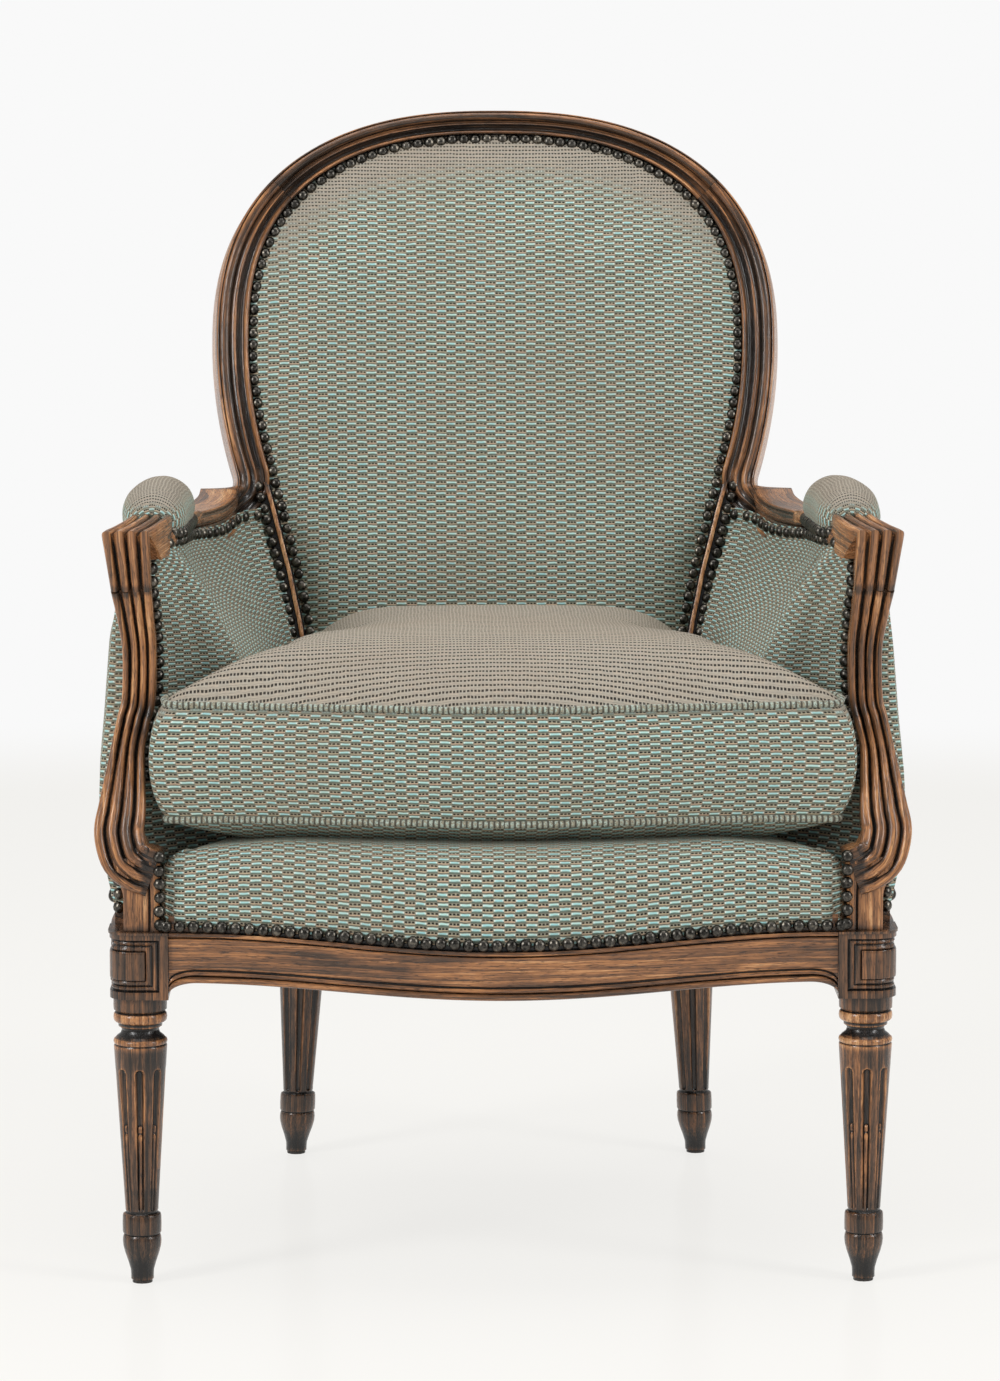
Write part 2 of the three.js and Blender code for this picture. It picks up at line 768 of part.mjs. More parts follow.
// Along the core: share of the arm, share of the width, and share of the ear's rise.
const coreShares = [
  [0.34, 0.62, 0.2],
  [0.38, 0.84, 0.9],
  [0.42, 0.96, 1],
  [0.48, 1, 0.2],
  [0.58, 1, 0],
  [0.72, 0.96, 0],
  [0.8, 0.86, 0],
  [0.88, 0.78, 0],
];

// The arm under its pad, grown by a distance all round.
function armCore(grow) {
  const rings = coreShares.map(([t, widthShare, rise]) => {
    const station = armStation(t);
    const middle = armPlace(t);
    return coreSectionShares.map(([u, v]) => {
      const ear = v > 0 ? rise * arm.earRise : 0;
      return middle
        .clone()
        .addScaledVector(station.out, (-u * widthShare * arm.coreWidth) / 2 - Math.sign(u) * grow)
        .addScaledVector(station.across, (v * arm.height) / 2 + Math.sign(v) * grow + ear);
    });
  });
  return solidOf(loft(rings));
}

function armRest() {
  const head = sweep(postSectionShares, headStations()).trimByPlane([0, 0, 1], postPoints.at(-1).z + gap);
  return join(keepAfter(frameSide, armJoint), armCore(0), head);
}

const postTop = postPoints.at(-1);
const postWidths = [...postShares.map(([, , , width]) => width * post.width), post.width];
const postRun = [...postPoints, beyond(postPoints.at(-2), postTop)];
const postStations = facedStations(postRun, postWidths, post.relief, post.depth);

const postBlank = () => blankOf(postStations);

function armPost() {
  const curl = sweep(postSectionShares, postStations);
  const baseX = postPoints[1].x - post.relief;
  const baseY = frontFace + post.baseSet + post.relief;
  const ring = (z, width, shift) =>
    [
      [-0.5, 0],
      [0.5, 0],
      [0.5, 1],
      [-0.5, 1],
    ].map(([u, v]) => v3(baseX + shift + u * width, baseY + v * (post.baseDepth - post.relief), z));
  const base = solidOf(
    loft([
      ring(blockTop + gap, post.baseWidth, 0),
      ring(blockTop + post.baseHeight / 2, post.baseWidth, 0),
      ring(blockTop + post.baseHeight, post.baseTopWidth, post.relief),
    ]),
  );
  return join(curl, base)
    .trimByPlane([0, 0, 1], blockTop + gap)
    .trimByPlane([0, 0, -1], -postTop.z);
}

// Rear post: leg, block, stile, and the arch's side with its turn
const stileShares = [
  [0, 0, 1],
  [0.12, 0, 0.2],
  [0.3, 0, 0],
  [0.59, 0, 0],
  [0.7, 0.22, 0],
  [0.79, 0.47, 0],
  [0.9, 0.7, 0],
  [1, 1, 0],
];
const stilePlace = (t) => {
  const i = Math.max(stileShares.findIndex(([up]) => up >= t), 1);
  const [low, high] = [stileShares[i - 1], stileShares[i]];
  const part = (t - low[0]) / (high[0] - low[0]);
  return lerp(rearLeg.axisX, stileTopX, lerp(low[1], high[1], part));
};
const stileX = (s) => stilePlace(THREE.MathUtils.clamp((s - stile.footS) / (stileTopS - stile.footS), 0, 1));

// The stile's rings, from the block up, grown by a distance all round.
function stileRings(grow) {
  return stileShares.map(([up, , set]) => {
    const s = lerp(stile.footS, stileTopS, up);
    const x = stilePlace(up);
    const face = grow - set * stile.footSet;
    const bead = face + stile.beadRise * (1 - set);
    const w = stile.width / 2 + grow;
    const b = stile.beadWidth / 2 + grow;
    return [
      onBack(x - w, s, face),
      onBack(x - b, s, face),
      onBack(x - b, s, bead),
      onBack(x + b, s, bead),
      onBack(x + b, s, face),
      onBack(x + w, s, face),
      onBack(x + w, s, -back.depth - grow),
      onBack(x - w, s, -back.depth - grow),
    ];
  });
}
const stileBlank = () => solidOf(loft(stileRings(gap)));

function rearPost() {
  const slant = (1 / leg.height) * rearLeg.rake;
  const lean = (1 / leg.height) * rearLeg.splay;
  const shaft = turnedLeg(openFluteShares).warp((p) => {
    p[0] += rearLeg.axisX + (leg.height - p[2]) * lean;
    p[1] += rearLeg.axisY + (leg.height - p[2]) * slant;
  });
  const half = rearLeg.blockSize / 2;
  const middle = v3(rearLeg.axisX, rearLeg.axisY, 0);
  const base = boxOf(
    middle.clone().add(v3(-half, -half, leg.height - gap)),
    middle.clone().add(v3(half, half, blockTop)),
  );
  const side = keepBefore(keepAfter(frameSide, crestJoint), armJoint);
  return cut(
    join(shaft, base, solidOf(loft(stileRings(0))), side),
    sideRearTenon(gap),
    rearTenon(gap),
    boxOf(v3(0, 0, -overrun), v3(leg.axisX, 2 * rearLeg.axisY, glide.height + gap)),
  );
}

// Rails

const frontBow = (x) => rail.bow * (1 / 2 + Math.cos((Math.PI * x) / bowSpan) / 2);
const railStepShares = [-1, -0.955, -0.9, -0.75, -0.56, -0.38, -0.19, 0];
const railSteps = [...railStepShares, ...railStepShares.slice(0, -1).map((t) => -t).reverse()];

// Face of the front rail from its lower edge up: shares of the relief, and heights in reliefs.
const railBeadShares = [
  [-0.6, 0],
  [0.6, 0.3],
  [1, 1.4],
  [0.5, 2.3],
  [-0.2, 2.7],
  [0.4, 3.1],
  [0.1, 4.2],
];
const railFilletShares = [
  [0.2, -3.2],
  [-0.5, -2.8],
  [0.9, -2.3],
  [0.9, 0],
];

function frontRail() {
  const rings = railSteps.map((share) => {
    const x = share * railEnd;
    const bow = frontBow(x);
    const arch = bow / rail.bow;
    const knee = smooth(railEnd - Math.abs(x), 0, rail.kneeLength);
    const low = railBottom + rail.kneeDrop * knee - rail.bottomDip * arch;
    const top = blockTop - rail.faceDip * arch;
    const face = frontFace + rail.rebate - bow;
    const at = (forward, z) => v3(x, face - forward, z);
    const lip = -rail.thickness * rail.lipShare;
    return [
      at(-rail.thickness, ledgeZ),
      at(lip, ledgeZ),
      at(lip, low),
      ...railBeadShares.map(([v, z]) => at(v * rail.relief, low + z * rail.relief)),
      ...railFilletShares.map(([v, z]) => at(v * rail.relief, top + z * rail.relief)),
      at(-rail.rebate, top),
      at(-rail.rebate, railTop),
      at(-rail.thickness, railTop),
    ];
  });
  return join(solidOf(loft(rings)), acrossTenon(railEnd, railMiddleY), acrossTenon(-railEnd, railMiddleY));
}

const sideCurve = new THREE.CubicBezierCurve(
  sideFront,
  v2(sideFront.x + sideRail.bulge, sideFront.y + sideRail.frontRun),
  v2(sideRear.x + sideRail.rearTuck, sideRear.y - sideRail.rearRun),
  sideRear,
);
// The rail's outer face at a distance behind the front legs.
const sideSteps = 100;
function sideFace(y) {
  const t = steps(sideSteps).find((share) => sideCurve.getPoint(share).y >= y) ?? 1;
  return sideCurve.getPoint(t).x;
}

function sideRailSolid() {
  const rings = steps(10).map((t) => {
    const p = sideCurve.getPoint(t);
    const tangent = sideCurve.getTangent(t);
    const inward = t === 0 || t === 1 ? v2(-1, 0) : v2(-tangent.y, tangent.x).normalize();
    const at = (depth, z) => v3(p.x + inward.x * depth, p.y + inward.y * depth, z);
    const low = railBottom + rail.kneeDrop - rail.bottomDip;
    const lip = rail.thickness * rail.lipShare;
    return [
      at(0, low),
      at(0, blockTop),
      at(rail.rebate, blockTop),
      at(rail.rebate, railTop),
      at(rail.thickness, railTop),
      at(rail.thickness, ledgeZ),
      at(lip, ledgeZ),
      at(lip, low),
    ];
  });
  return join(solidOf(loft(rings)), sideFrontTenon(0), sideRearTenon(0));
}

function rearRail() {
  const low = railBottom + rail.kneeDrop - rail.bottomDip;
  const half = rail.thickness / 2;
  const lip = half - rail.thickness * rail.lipShare;
  const profile = [
    [half, low],
    [half, railTop],
    [-half, railTop],
    [-half, ledgeZ],
    [lip, ledgeZ],
    [lip, low],
  ];
  const rings = [-rearRailEnd, rearRailEnd].map((x) => profile.map(([y, z]) => v3(x, rearLeg.axisY + y, z)));
  return join(solidOf(loft(rings)), rearTenon(0), mirrorX(rearTenon(0)));
}

const backRailShares = [-1, -0.5, 0, 0.5, 1];
function lowerBackRail() {
  const rings = backRailShares.map((share) => {
    const x = share * (rearLeg.axisX - stile.width / 2 - gap);
    const [low, high] = [backRail.s, backRail.s + backRail.height];
    return [
      onBack(x, low, 0),
      onBack(x, high, 0),
      onBack(x, high, -backRail.thickness),
      onBack(x, low, -backRail.thickness),
    ];
  });
  return solidOf(loft(rings));
}

// A rail measured across its slant is this much thicker.
const slantShare = 1.15;

function frontBrace() {
  const faceY = frontFace + rail.rebate + rail.thickness + gap;
  const blockY = block.size / 2 + gap;
  const sideX = sideFront.x - rail.thickness - gap;
  return prism(
    [
      v2(railEnd - brace.leg, faceY),
      v2(railEnd, faceY),
      v2(railEnd, blockY),
      v2(sideX, blockY),
      v2(sideX, blockY + brace.leg),
    ],
    ledgeZ + overrun,
    ledgeZ + overrun + brace.height,
  );
}

function rearBrace() {
  const faceY = rearLeg.axisY - rail.thickness / 2 - gap;
  const inner = rearRailEnd;
  const blockY = sideRear.y;
  const sideX = sideRear.x - rail.thickness - gap;
  const farY = blockY - brace.leg;
  return prism(
    [
      v2(inner - brace.leg, faceY),
      v2(sideFace(farY) - rail.thickness * slantShare, farY),
      v2(sideX, blockY),
      v2(inner, blockY),
      v2(inner, faceY),
    ],
    ledgeZ + overrun,
    ledgeZ + overrun + brace.height,
  );
}

// Plan of the space inside the rails' lips, for what is fixed under the seat.
const underEndShare = 0.03;
function underPlan(inset) {
  const lip = rail.thickness * rail.lipShare + inset;
  const front = steps(6).map((t) => {
    const x = t * (railEnd - inset);
    return v2(x, frontFace + rail.rebate - frontBow(x) + lip);
  });
  const side = steps(4).map((t) => {
    const p = sideCurve.getPoint(lerp(underEndShare, 1 - underEndShare, t));
    return v2(p.x - lip * slantShare, p.y);
  });
  const rear = [v2(rearRailEnd, side.at(-1).y), v2(rearRailEnd, rearLeg.axisY + rail.thickness / 2 - lip)];
  const blockCorner = [v2(railEnd - inset, side[0].y + inset)];
  const half = [...front, ...blockCorner, ...side, ...rear];
  return [...half, ...half.map((p) => v2(-p.x, p.y)).reverse().slice(0, -1)];
}

function seatWebbing() {
  const top = ledgeZ - gap;
  const low = top - webbing.thickness;
  const far = leg.axisX + overrun;
  const half = webbing.width / 2;
  const strips = [-2, -1, 0, 1, 2];
  const along = strips.map((k) => {
    const x = k * spring.pitchX;
    return boxOf(v3(x - half, -far, low), v3(x + half, 2 * far, top));
  });
  const across = strips.map((k) => {
    const y = spring.middleY + k * spring.pitchY;
    return boxOf(v3(-far, y - half, low), v3(far, y + half, top));
  });
  return join(...along, ...across).intersect(prism(underPlan(rail.rebate), low - overrun, top + overrun));
}

function dustCoverSheet() {
  const top = ledgeZ - gap - webbing.thickness - dustCover.drop;
  return prism(underPlan(rail.rebate), top - dustCover.thickness, top);
}

// Springs

const springTop = pocketZ - gap;
const closeShare = 0.1; // the end coils lie closer together
const eased = (t) => smooth(t, -closeShare, 1 + closeShare);
function springAt(x, y) {
  const low = ledgeZ + spring.wire / 2;
  const high = springTop - spring.wire / 2;
  const place = (t) => {
    const angle = t * springTurns * 2 * Math.PI;
    const radius = lerp(spring.waist, spring.end, (2 * t - 1) ** 2);
    const up = (eased(t) - eased(0)) / (eased(1) - eased(0));
    return v3(x + radius * Math.cos(angle), y + radius * Math.sin(angle), lerp(low, high, up));
  };
  const rings = steps(springSteps).map((t) => {
    const at = place(t);
    const away = v3(at.x - x, at.y - y, 0).normalize();
    return range(wireSides).map((k) => {
      const turn = ((k + 1 / 4) / wireSides) * 2 * Math.PI;
      return at
        .clone()
        .addScaledVector(away, (Math.cos(turn) * spring.wire) / 2)
        .add(v3(0, 0, (Math.sin(turn) * spring.wire) / 2));
    });
  });
  return solidOf(loft(rings));
}

// The seat

// Where the padded arm turns its corner, in shares of its height, then of the way out and forwards.
const foldShares = [
  [0, 0, 0],
  [0.5, 0.03, 0],
  [0.62, 0.08, 0.05],
  [0.73, 0.2, 0.17],
  [0.88, 0.45, 0.34],
  [1, 0.78, 0.68],
];
const padShare = (z) => THREE.MathUtils.clamp((z - railTop) / (padTopZ - railTop), 0, 1);
function foldAt(t) {
  const i = Math.max(foldShares.findIndex(([up]) => up >= t), 1);
  const [low, high] = [foldShares[i - 1], foldShares[i]];
  const part = (t - low[0]) / (high[0] - low[0]);
  return v2(
    lerp(foldX, seatHalf, lerp(low[1], high[1], part)),
    lerp(armPad.foldY, armPad.frontY, lerp(low[2], high[2], part)),
  );
}

// Plan of the seat: bowed front, ears in front of the arms, and sides that draw in to the back.
const seatFrontShares = [0, 0.2, 0.4, 0.6, 0.8, 0.93];
const seatSideShares = [0.15, 0.55];
const seatRearShares = [0.92, 0.5];
function seatPlan(z, inset, bow) {
  const fold = foldAt(padShare(z));
  const half = seatHalf - inset;
  const front = seatFrontShares.map((t) => {
    const x = t * half;
    return v2(x, seat.cornerY - bow * Math.cos((Math.PI / 2) * t) ** 2 + inset);
  });
  const ear = [v2(half, seat.cornerY + seat.cornerRise), v2(half + seat.play, seat.earY - inset)];
  const side = [
    v2(lerp(fold.x, half, 0.5) - inset / 2, lerp(fold.y, seat.earY, 0.5) - inset),
    v2(fold.x - inset, fold.y - inset / 2),
    ...seatSideShares.map((t) => v2(lerp(fold.x, seatRearHalf, t) - inset, lerp(fold.y, seatRearY, t))),
    v2(seatRearHalf - inset, seatRearY - seat.rearCorner),
  ];
  const rear = seatRearShares.map((t) =>
    v2(seatRearHalf * t, seatRearY + seat.rearBow * Math.cos((Math.PI / 2) * t) - inset),
  );
  const right = [...front, ...ear, ...side, ...rear];
  const left = right.slice(1).reverse().map((p) => v2(-p.x, p.y));
  return [...right, v2(0, seatRearY + seat.rearBow - inset), ...left];
}

// A ring of the seat at a height, shrunk about the seat's middle by a share.
function seatRing(z, inset, bow, share, planZ) {
  return seatPlan(planZ, inset, bow).map((p) => v3(p.x * share, lerp(seat.middleY, p.y, share), z));
}

// Rings of the deck from the rails up: shares of its height, of its bulge and of its plan.
const deckShares = [
  [0, 1, 1],
  [0.22, 0.33, 1],
  [0.45, 0.13, 1],
  [0.78, 0.33, 1],
  [0.95, 1, 0.97],
  [0.98, 1, 0.86],
  [1, 1, 0.6],
];
// Rings of the hollow under it that holds the springs: shares of its height and of its plan.
const pocketShares = [
  [0, 1],
  [0.6, 1],
  [1, 0.9],
];

function seatDeck() {
  const low = railTop + gap;
  const ring = (z, inset, share) => seatRing(z, inset, deck.bow, share, low);
  const outer = deckShares.map(([up, drawn, share]) =>
    ring(lerp(low, deckTopZ, up), drawn * deck.bulge, share),
  );
  const pocket = pocketShares.map(([up, share]) =>
    ring(lerp(low - overrun, pocketZ, up), deck.bulge, share * deck.wallShare),
  );
  return cut(solidOf(loft(outer)), solidOf(loft(pocket)));
}

const cushionTop = cushionLowZ + cushion.boxing;

// The arms push the cushion's top up along its sides, behind its ears, and less so towards the back.
const liftEndShare = 0.6;
function sideLift(y) {
  const behindEars = smooth(y, seat.cornerY, armPad.foldY);
  const towardsBack = smooth(y, liftEndShare * seatRearY, seatRearY);
  return cushion.sideLift * behindEars * (1 - towardsBack / 2);
}

// Rings of the cushion: shares of the height from the deck to its lower edge, and of its plan.
const bellyShares = [
  [0, 0.3],
  [0.12, 0.62],
  [0.5, 0.87],
];
// Up its sides: shares of the boxing's height, of its bulge and of the lift.
const boxingShares = [
  [0, 1, 0],
  [0.2, 0.3, 0],
  [0.45, 0, 0.3],
  [0.8, 0.35, 0.7],
  [1, 1, 1],
];
// Over its top: shares of its plan and of the crown.
const crownShares = [
  [0.965, 0.28],
  [0.88, 0.52],
  [0.68, 0.83],
  [0.34, 1],
];

function seatCushion() {
  const ring = (z, inset, share, lift) =>
    seatRing(z, inset + seat.play, seat.bow - cushion.frontReach, share, cushionLowZ).map((p) =>
      p.setZ(p.z + lift * sideLift(p.y)),
    );
  const belly = deckTopZ + gap;
  const { bulge, topCrown } = cushion;
  return solidOf(
    loft([
      ...bellyShares.map(([up, share]) => ring(lerp(belly, cushionLowZ, up), bulge, share, 0)),
      ...boxingShares.map(([up, drawn, lift]) =>
        ring(lerp(cushionLowZ, cushionTop, up), drawn * bulge, 1, lift),
      ),
      ...crownShares.map(([share, up]) => ring(cushionTop + up * topCrown, bulge, share, 1 - up)),
    ]),
  );
}

// A welt round the cushion at a height, as a closed ring of cord against its edge.
const weltSides = 5;
function cushionWelt(z, lift) {
  const plan = seatPlan(cushionLowZ, cushion.bulge + seat.play, seat.bow - cushion.frontReach);
  const count = plan.length;
  const away = plan.map((p, i) => {
    const before = p.clone().sub(plan[(i + count - 1) % count]).normalize();
    const after = plan[(i + 1) % count].clone().sub(p).normalize();
    const mitre = before.clone().add(after).divideScalar(1 + before.dot(after));
    return v3(mitre.y, -mitre.x, 0);
  });
  const places = plan.flatMap((p, i) =>
    range(weltSides).map((k) => {
      const turn = (k / weltSides) * 2 * Math.PI;
      const reach = cushion.weltSet + cushion.welt * (1 + Math.cos(turn));
      const height = z + lift * sideLift(p.y) + cushion.welt * Math.sin(turn);
      return v3(p.x, p.y, height).addScaledVector(away[i], reach);
    }),
  );
  const faces = range(count).flatMap((i) =>
    range(weltSides).flatMap((k) => {
      const start = i * weltSides;
      const next = ((i + 1) % count) * weltSides;
      const turned = (k + 1) % weltSides;
      return [start + k, next + turned, start + turned, start + k, next + k, next + turned];
    }),
  );
  const geometry = new THREE.BufferGeometry().setFromPoints(places);
  geometry.setIndex(faces);
  return geometry;
}

// Upholstery of the back

// Shares of its outline at which the rings of a sheet on the hollow back lie.
const backRingShares = [0.12, 0.45, 0.8, 1];
// Over the pad: shares of its crown above its edge, and of its outline.
const padCrownShares = [
  [0, 1],
  [0.45, 0.95],
  [0.75, 0.86],
  [0.93, 0.68],
  [1, 0.4],
  [1, 0.12],
];
// The same for the cover on the outside.
const outsideCrownShares = [
  [0, 1],
  [0.65, 0.88],
  [1, 0.5],
  [1, 0.15],
];
const backFootShares = [0.8, 0.6, 0.4, 0.2, 0];

function backOutline(margin, lowS, inner) {
  const edge = archStations(archRun).map((s, i) => {
    const width = inner ? s.width + margin : margin;
    const p = archRun[i];
    const flatAcross = v2(s.across.x, s.across.z / Math.cos(back.recline)).normalize();
    return p.clone().addScaledVector(flatAcross, -width);
  });
  const top = edge[0].setX(0);
  const side = edge.filter((p, i) => i % 2 === 0 && i > 0);
  const foot = backFootShares.map((t) => {
    const s = lerp(lowS, turnS, t);
    const half = stile.width / 2;
    return v2(stileX(s) + (inner ? -half - margin : half - margin / 2), s);
  });
  const low = [v2(foot.at(-1).x / 2, lowS), v2(0, lowS)];
  const right = [top, ...side, ...foot, ...low];
  return [...right, ...right.slice(1, -1).reverse().map((p) => v2(-p.x, p.y))];
}

function backCushion() {
  const outline = backOutline(backPad.margin, backPad.lowS, true);
  const ring = (forward, share) =>
    outline.map((p) => onBack(p.x * share, lerp(backPad.middleS, p.y, share), forward));
  return solidOf(
    loft([
      ...backRingShares.map((share) => ring(gap, share)),
      ...padCrownShares.map(([up, share]) => ring(lerp(backPad.edge, backPad.crown, up), share)),
    ]),
  );
}

function outsideBack() {
  const outline = backOutline(outBack.margin, outBack.lowS, false);
  const face = -back.depth - 2 * gap;
  const ring = (behind, share) =>
    outline.map((p) => onBack(p.x * share, lerp(backPad.middleS, p.y, share), face - behind));
  return solidOf(
    loft([
      ...backRingShares.map((share) => ring(0, share)),
      ...outsideCrownShares.map(([up, share]) => ring(lerp(outBack.thickness, outBack.crown, up), share)),
    ]),
  );
}

// Half the width between the frame's sides at a place up the back.
function openingHalf(outline, s) {
  const right = outline.slice(0, outline.length / 2 + 1);
  const i = right.findIndex((p, k) => k > 0 && p.y <= s);
  const [above, below] = [right[i - 1], right[i]];
  return lerp(above.x, below.x, (above.y - s) / (above.y - below.y));
}

function backWebbing() {
  const outline = backOutline(backPad.margin, backPad.lowS, true);
  const half = webbing.width / 2;
  const band = (x, low, high) => [
    onBack(x, low, -2 * gap),
    onBack(x, high, -2 * gap),
    onBack(x, high, -2 * gap - webbing.thickness),
    onBack(x, low, -2 * gap - webbing.thickness),
  ];
  const rows = [-2, -1, 0, 1, 2].map((k) => backPad.middleS + k * webbing.backPitch);
  const columns = [-1, 0, 1].map((k) => k * webbing.backPitch);
  const edges = columns.flatMap((x) => [x - half, x + half]);
  const level = rows.map((s) => {
    const narrow = Math.min(openingHalf(outline, s - half), openingHalf(outline, s + half));
    const reach = webbing.spanShare * narrow;
    return solidOf(loft([-reach, ...edges, reach].map((x) => band(x, s - half, s + half))));
  });
  const upright = columns.map((x) => {
    const [low, high] = [rows[0] - webbing.backPitch / 2, rows.at(-1) + webbing.backPitch / 2];
    return solidOf(loft([-1, 1].map((u) => band(x + u * half, low, high))));
  });
  return join(...level, ...upright);
}

// Upholstery of the arms

// Height at a share of the way up from the side rail to the arm, or to the nail rebate's lower edge.
function panelZ(t, y, drop) {
  const under = armPlace(armAt(y)).z - arm.height * (1 / 2 + drop);
  return lerp(railTop + gap, under - gap, t);
}

// How full the outside panel is, in shares of the way up and of its bulge.
const bulgeShares = [
  [0, 0],
  [0.1, 0.4],
  [0.25, 0.8],
  [0.42, 1],
  [0.62, 0.93],
  [0.8, 0.84],
  [0.92, 0.5],
  [1, 0],
];
const levelOf = (z) => (z - backZ) / Math.cos(back.recline);

// Outside of the arm's panel in plan: between the side rail below and the arm above.
const panelStepShares = [0, 0.12, 0.3, 0.5, 0.7, 0.88, 1];
const bulgeStartShare = 0.18; // the bulge is already under way at the post
const bulgePower = 0.7;
const drawnInShare = 0.75; // from here it draws in to the stile
function panelPlan([up, full], inset) {
  const z = lerp(railTop, padTopZ, up);
  const front = postAt(z).y + post.depth + gap;
  const startY = Math.max(front, frontFace + post.baseSet + post.baseDepth + gap);
  const rearX = stileX(levelOf(z)) + stile.width / 2 + gap;
  const rearY = rearLeg.axisY + levelOf(z) * Math.sin(back.recline) + back.depth / 2;
  return panelStepShares.map((t) => {
    const y = lerp(startY, rearY, t);
    const above = armPlace(armAt(y)).x + arm.coreWidth / 2 - outArm.topLap;
    const below = sideFace(y) - rail.rebate;
    const swell = Math.sin(Math.PI * lerp(bulgeStartShare, 1, t)) ** bulgePower;
    const x = lerp(below, above, up) + full * outArm.bulge * swell;
    const drawn = smooth(t, drawnInShare, 1);
    return v2(lerp(x, rearX + outArm.thickness, drawn) - inset, y);
  });
}

function outsideArm() {
  const rings = bulgeShares.map((level) => {
    const raised = (p) => v3(p.x, p.y, panelZ(level[0], p.y, arm.flangeShare));
    return [...panelPlan(level, 0).map(raised), ...panelPlan(level, outArm.thickness).map(raised).reverse()];
  });
  return solidOf(loft(rings));
}

// Between the fold and the stile: shares of the way inwards and backwards.
const insideShares = [
  [0.2, 0.15],
  [0.55, 0.5],
  [0.85, 0.8],
];

function insideArm() {
  const rings = bulgeShares.map((level) => {
    const [t] = level;
    const z = lerp(railTop, padTopZ, t);
    const at = postAt(z);
    const fold = foldAt(t);
    const frontY = Math.max(at.y + armPad.lap, armPad.frontY);
    const frontX = at.x - at.width / 2 + post.relief;
    const shell = panelPlan(level, outArm.thickness + outArm.play);
    const rear = shell.at(-1);
    const stileSide = stileX(levelOf(z)) + stile.width / 2 + gap;
    const underArm = ([inwards, back]) => {
      const p = v2(lerp(fold.x, stileSide, inwards), lerp(fold.y, rear.y, back));
      const inner = armPlace(armAt(p.y)).x - arm.thickness / 2 - armPad.proud;
      return v2(lerp(p.x, inner, smooth(2 * t, 1, 2)), p.y);
    };
    const inner = [
      v2(Math.max(frontX, fold.x), Math.min(frontY, fold.y)),
      v2((frontX + fold.x) / 2, (frontY + fold.y) / 2),
      fold,
      ...insideShares.map(underArm),
      v2(stileSide, rear.y - back.depth / 2),
    ];
    const corner = [v2(shell[0].x, shell[0].y), v2(frontX + post.relief, shell[0].y)];
    return [
      ...inner.map((p) => v3(p.x, p.y, panelZ(t, p.y, 0))),
      ...[...shell.slice(1).reverse(), ...corner].map((p) => v3(p.x, p.y, panelZ(t, p.y, arm.flangeShare))),
    ];
  });
  return solidOf(loft(rings));
}

// Pad on the arm: shares of its length, of its width and of its height.
const manchetteShares = [
  [0, 0.5, 0.45],
  [0.03, 0.76, 0.7],
  [0.12, 0.95, 0.93],
  [0.3, 1, 1],
  [0.6, 1, 1],
  [0.88, 0.9, 0.93],
  [0.97, 0.7, 0.7],
  [1, 0.45, 0.45],
];
const padSectionShares = [
  [-0.44, 0],
  [-0.49, 0.28],
  [-0.4, 0.7],
  [-0.16, 0.96],
  [0.16, 0.96],
  [0.4, 0.7],
  [0.49, 0.28],
  [0.44, 0],
];
const padSeatShare = 0.45; // of the arm's height, over its middle
function manchettePad() {
  const startY = arm.frontY + arm.headRun + gap;
  const rings = manchetteShares.map(([along, wide, high]) => {
    const y = startY + along * manchette.length;
    const t = armAt(y);
    const middle = armPlace(t);
    const station = armStation(t);
    const low = middle.clone().addScaledVector(station.across, arm.height * padSeatShare + gap);
    return padSectionShares.map(([u, v]) =>
      low
        .clone()
        .addScaledVector(station.out, -u * wide * manchette.width)
        .addScaledVector(station.across, v * high * manchette.height),
    );
  });
  return solidOf(loft(rings));
}

function glideSolid(x, y) {
  const made = new THREE.CylinderGeometry(glide.radius, glide.radius, glide.height, glideSides);
  return solidOf(made.rotateX(Math.PI / 2).translate(x, y, glide.height / 2));
}

// The chair, put together

const group = new THREE.Group();

function place(name, geometry, material, mirrored = false) {
  const mesh = new THREE.Mesh(geometry, material);
  mesh.name = name;
  if (mirrored) mesh.scale.x = -1;
  group.add(mesh);
}
const placeOne = (name, solid, material) => place(name, geometryOf(solid), material);
function placePair(name, solid, material) {
  const geometry = geometryOf(solid);
  place(name + "_right", geometry, material);
  place(name + "_left", geometry, material, true);
}

const armRestSolid = armRest();
const armPostSolid = armPost();
const sideRailPiece = sideRailSolid();
const sideBlank = blankOf(sideStations, flangedBlankShares);
const framing = [postBlank(), stileBlank(), sideBlank, armCore(gap), blankOf(headStations())];
const outsideArmSolid = largest(cut(outsideArm(), ...framing));
const insideArmSolid = largest(cut(insideArm(), ...framing));
const bothSides = (solid) => [solid, mirrorX(solid)];

placePair("front_leg", frontLeg(), wood);
placePair("rear_post", rearPost(), wood);
placeOne("crest_rail", crestRail(), wood);
placePair("armrest", armRestSolid, wood);
placePair("arm_post", armPostSolid, wood);
placeOne("front_rail", frontRail(), wood);
placePair("side_rail", sideRailPiece, wood);
placeOne("rear_rail", rearRail(), wood);
placeOne("lower_back_rail", lowerBackRail(), wood);
placePair("front_brace", clear(frontBrace(), sideRailPiece), wood);
placePair("rear_brace", clear(rearBrace(), sideRailPiece), wood);
placeOne("seat_webbing", seatWebbing(), jute);
placeOne("dust_cover", dustCoverSheet(), cambric);
placeOne("seat_deck", clear(seatDeck(), ...bothSides(armPostSolid), ...bothSides(insideArmSolid)), fabric);
placeOne("seat_cushion", seatCushion(), fabric);
place("welt_bottom", cushionWelt(cushionLowZ, 0), fabric);
place("welt_top", cushionWelt(cushionTop, 1), fabric);
placeOne("back_webbing", backWebbing(), jute);
placeOne("back_pad", backCushion(), fabric);
placeOne("back_outside", largest(cut(outsideBack(), ...bothSides(sideBlank))), fabric);
placePair("arm_inside", insideArmSolid, fabric);
placePair("arm_outside", outsideArmSolid, fabric);
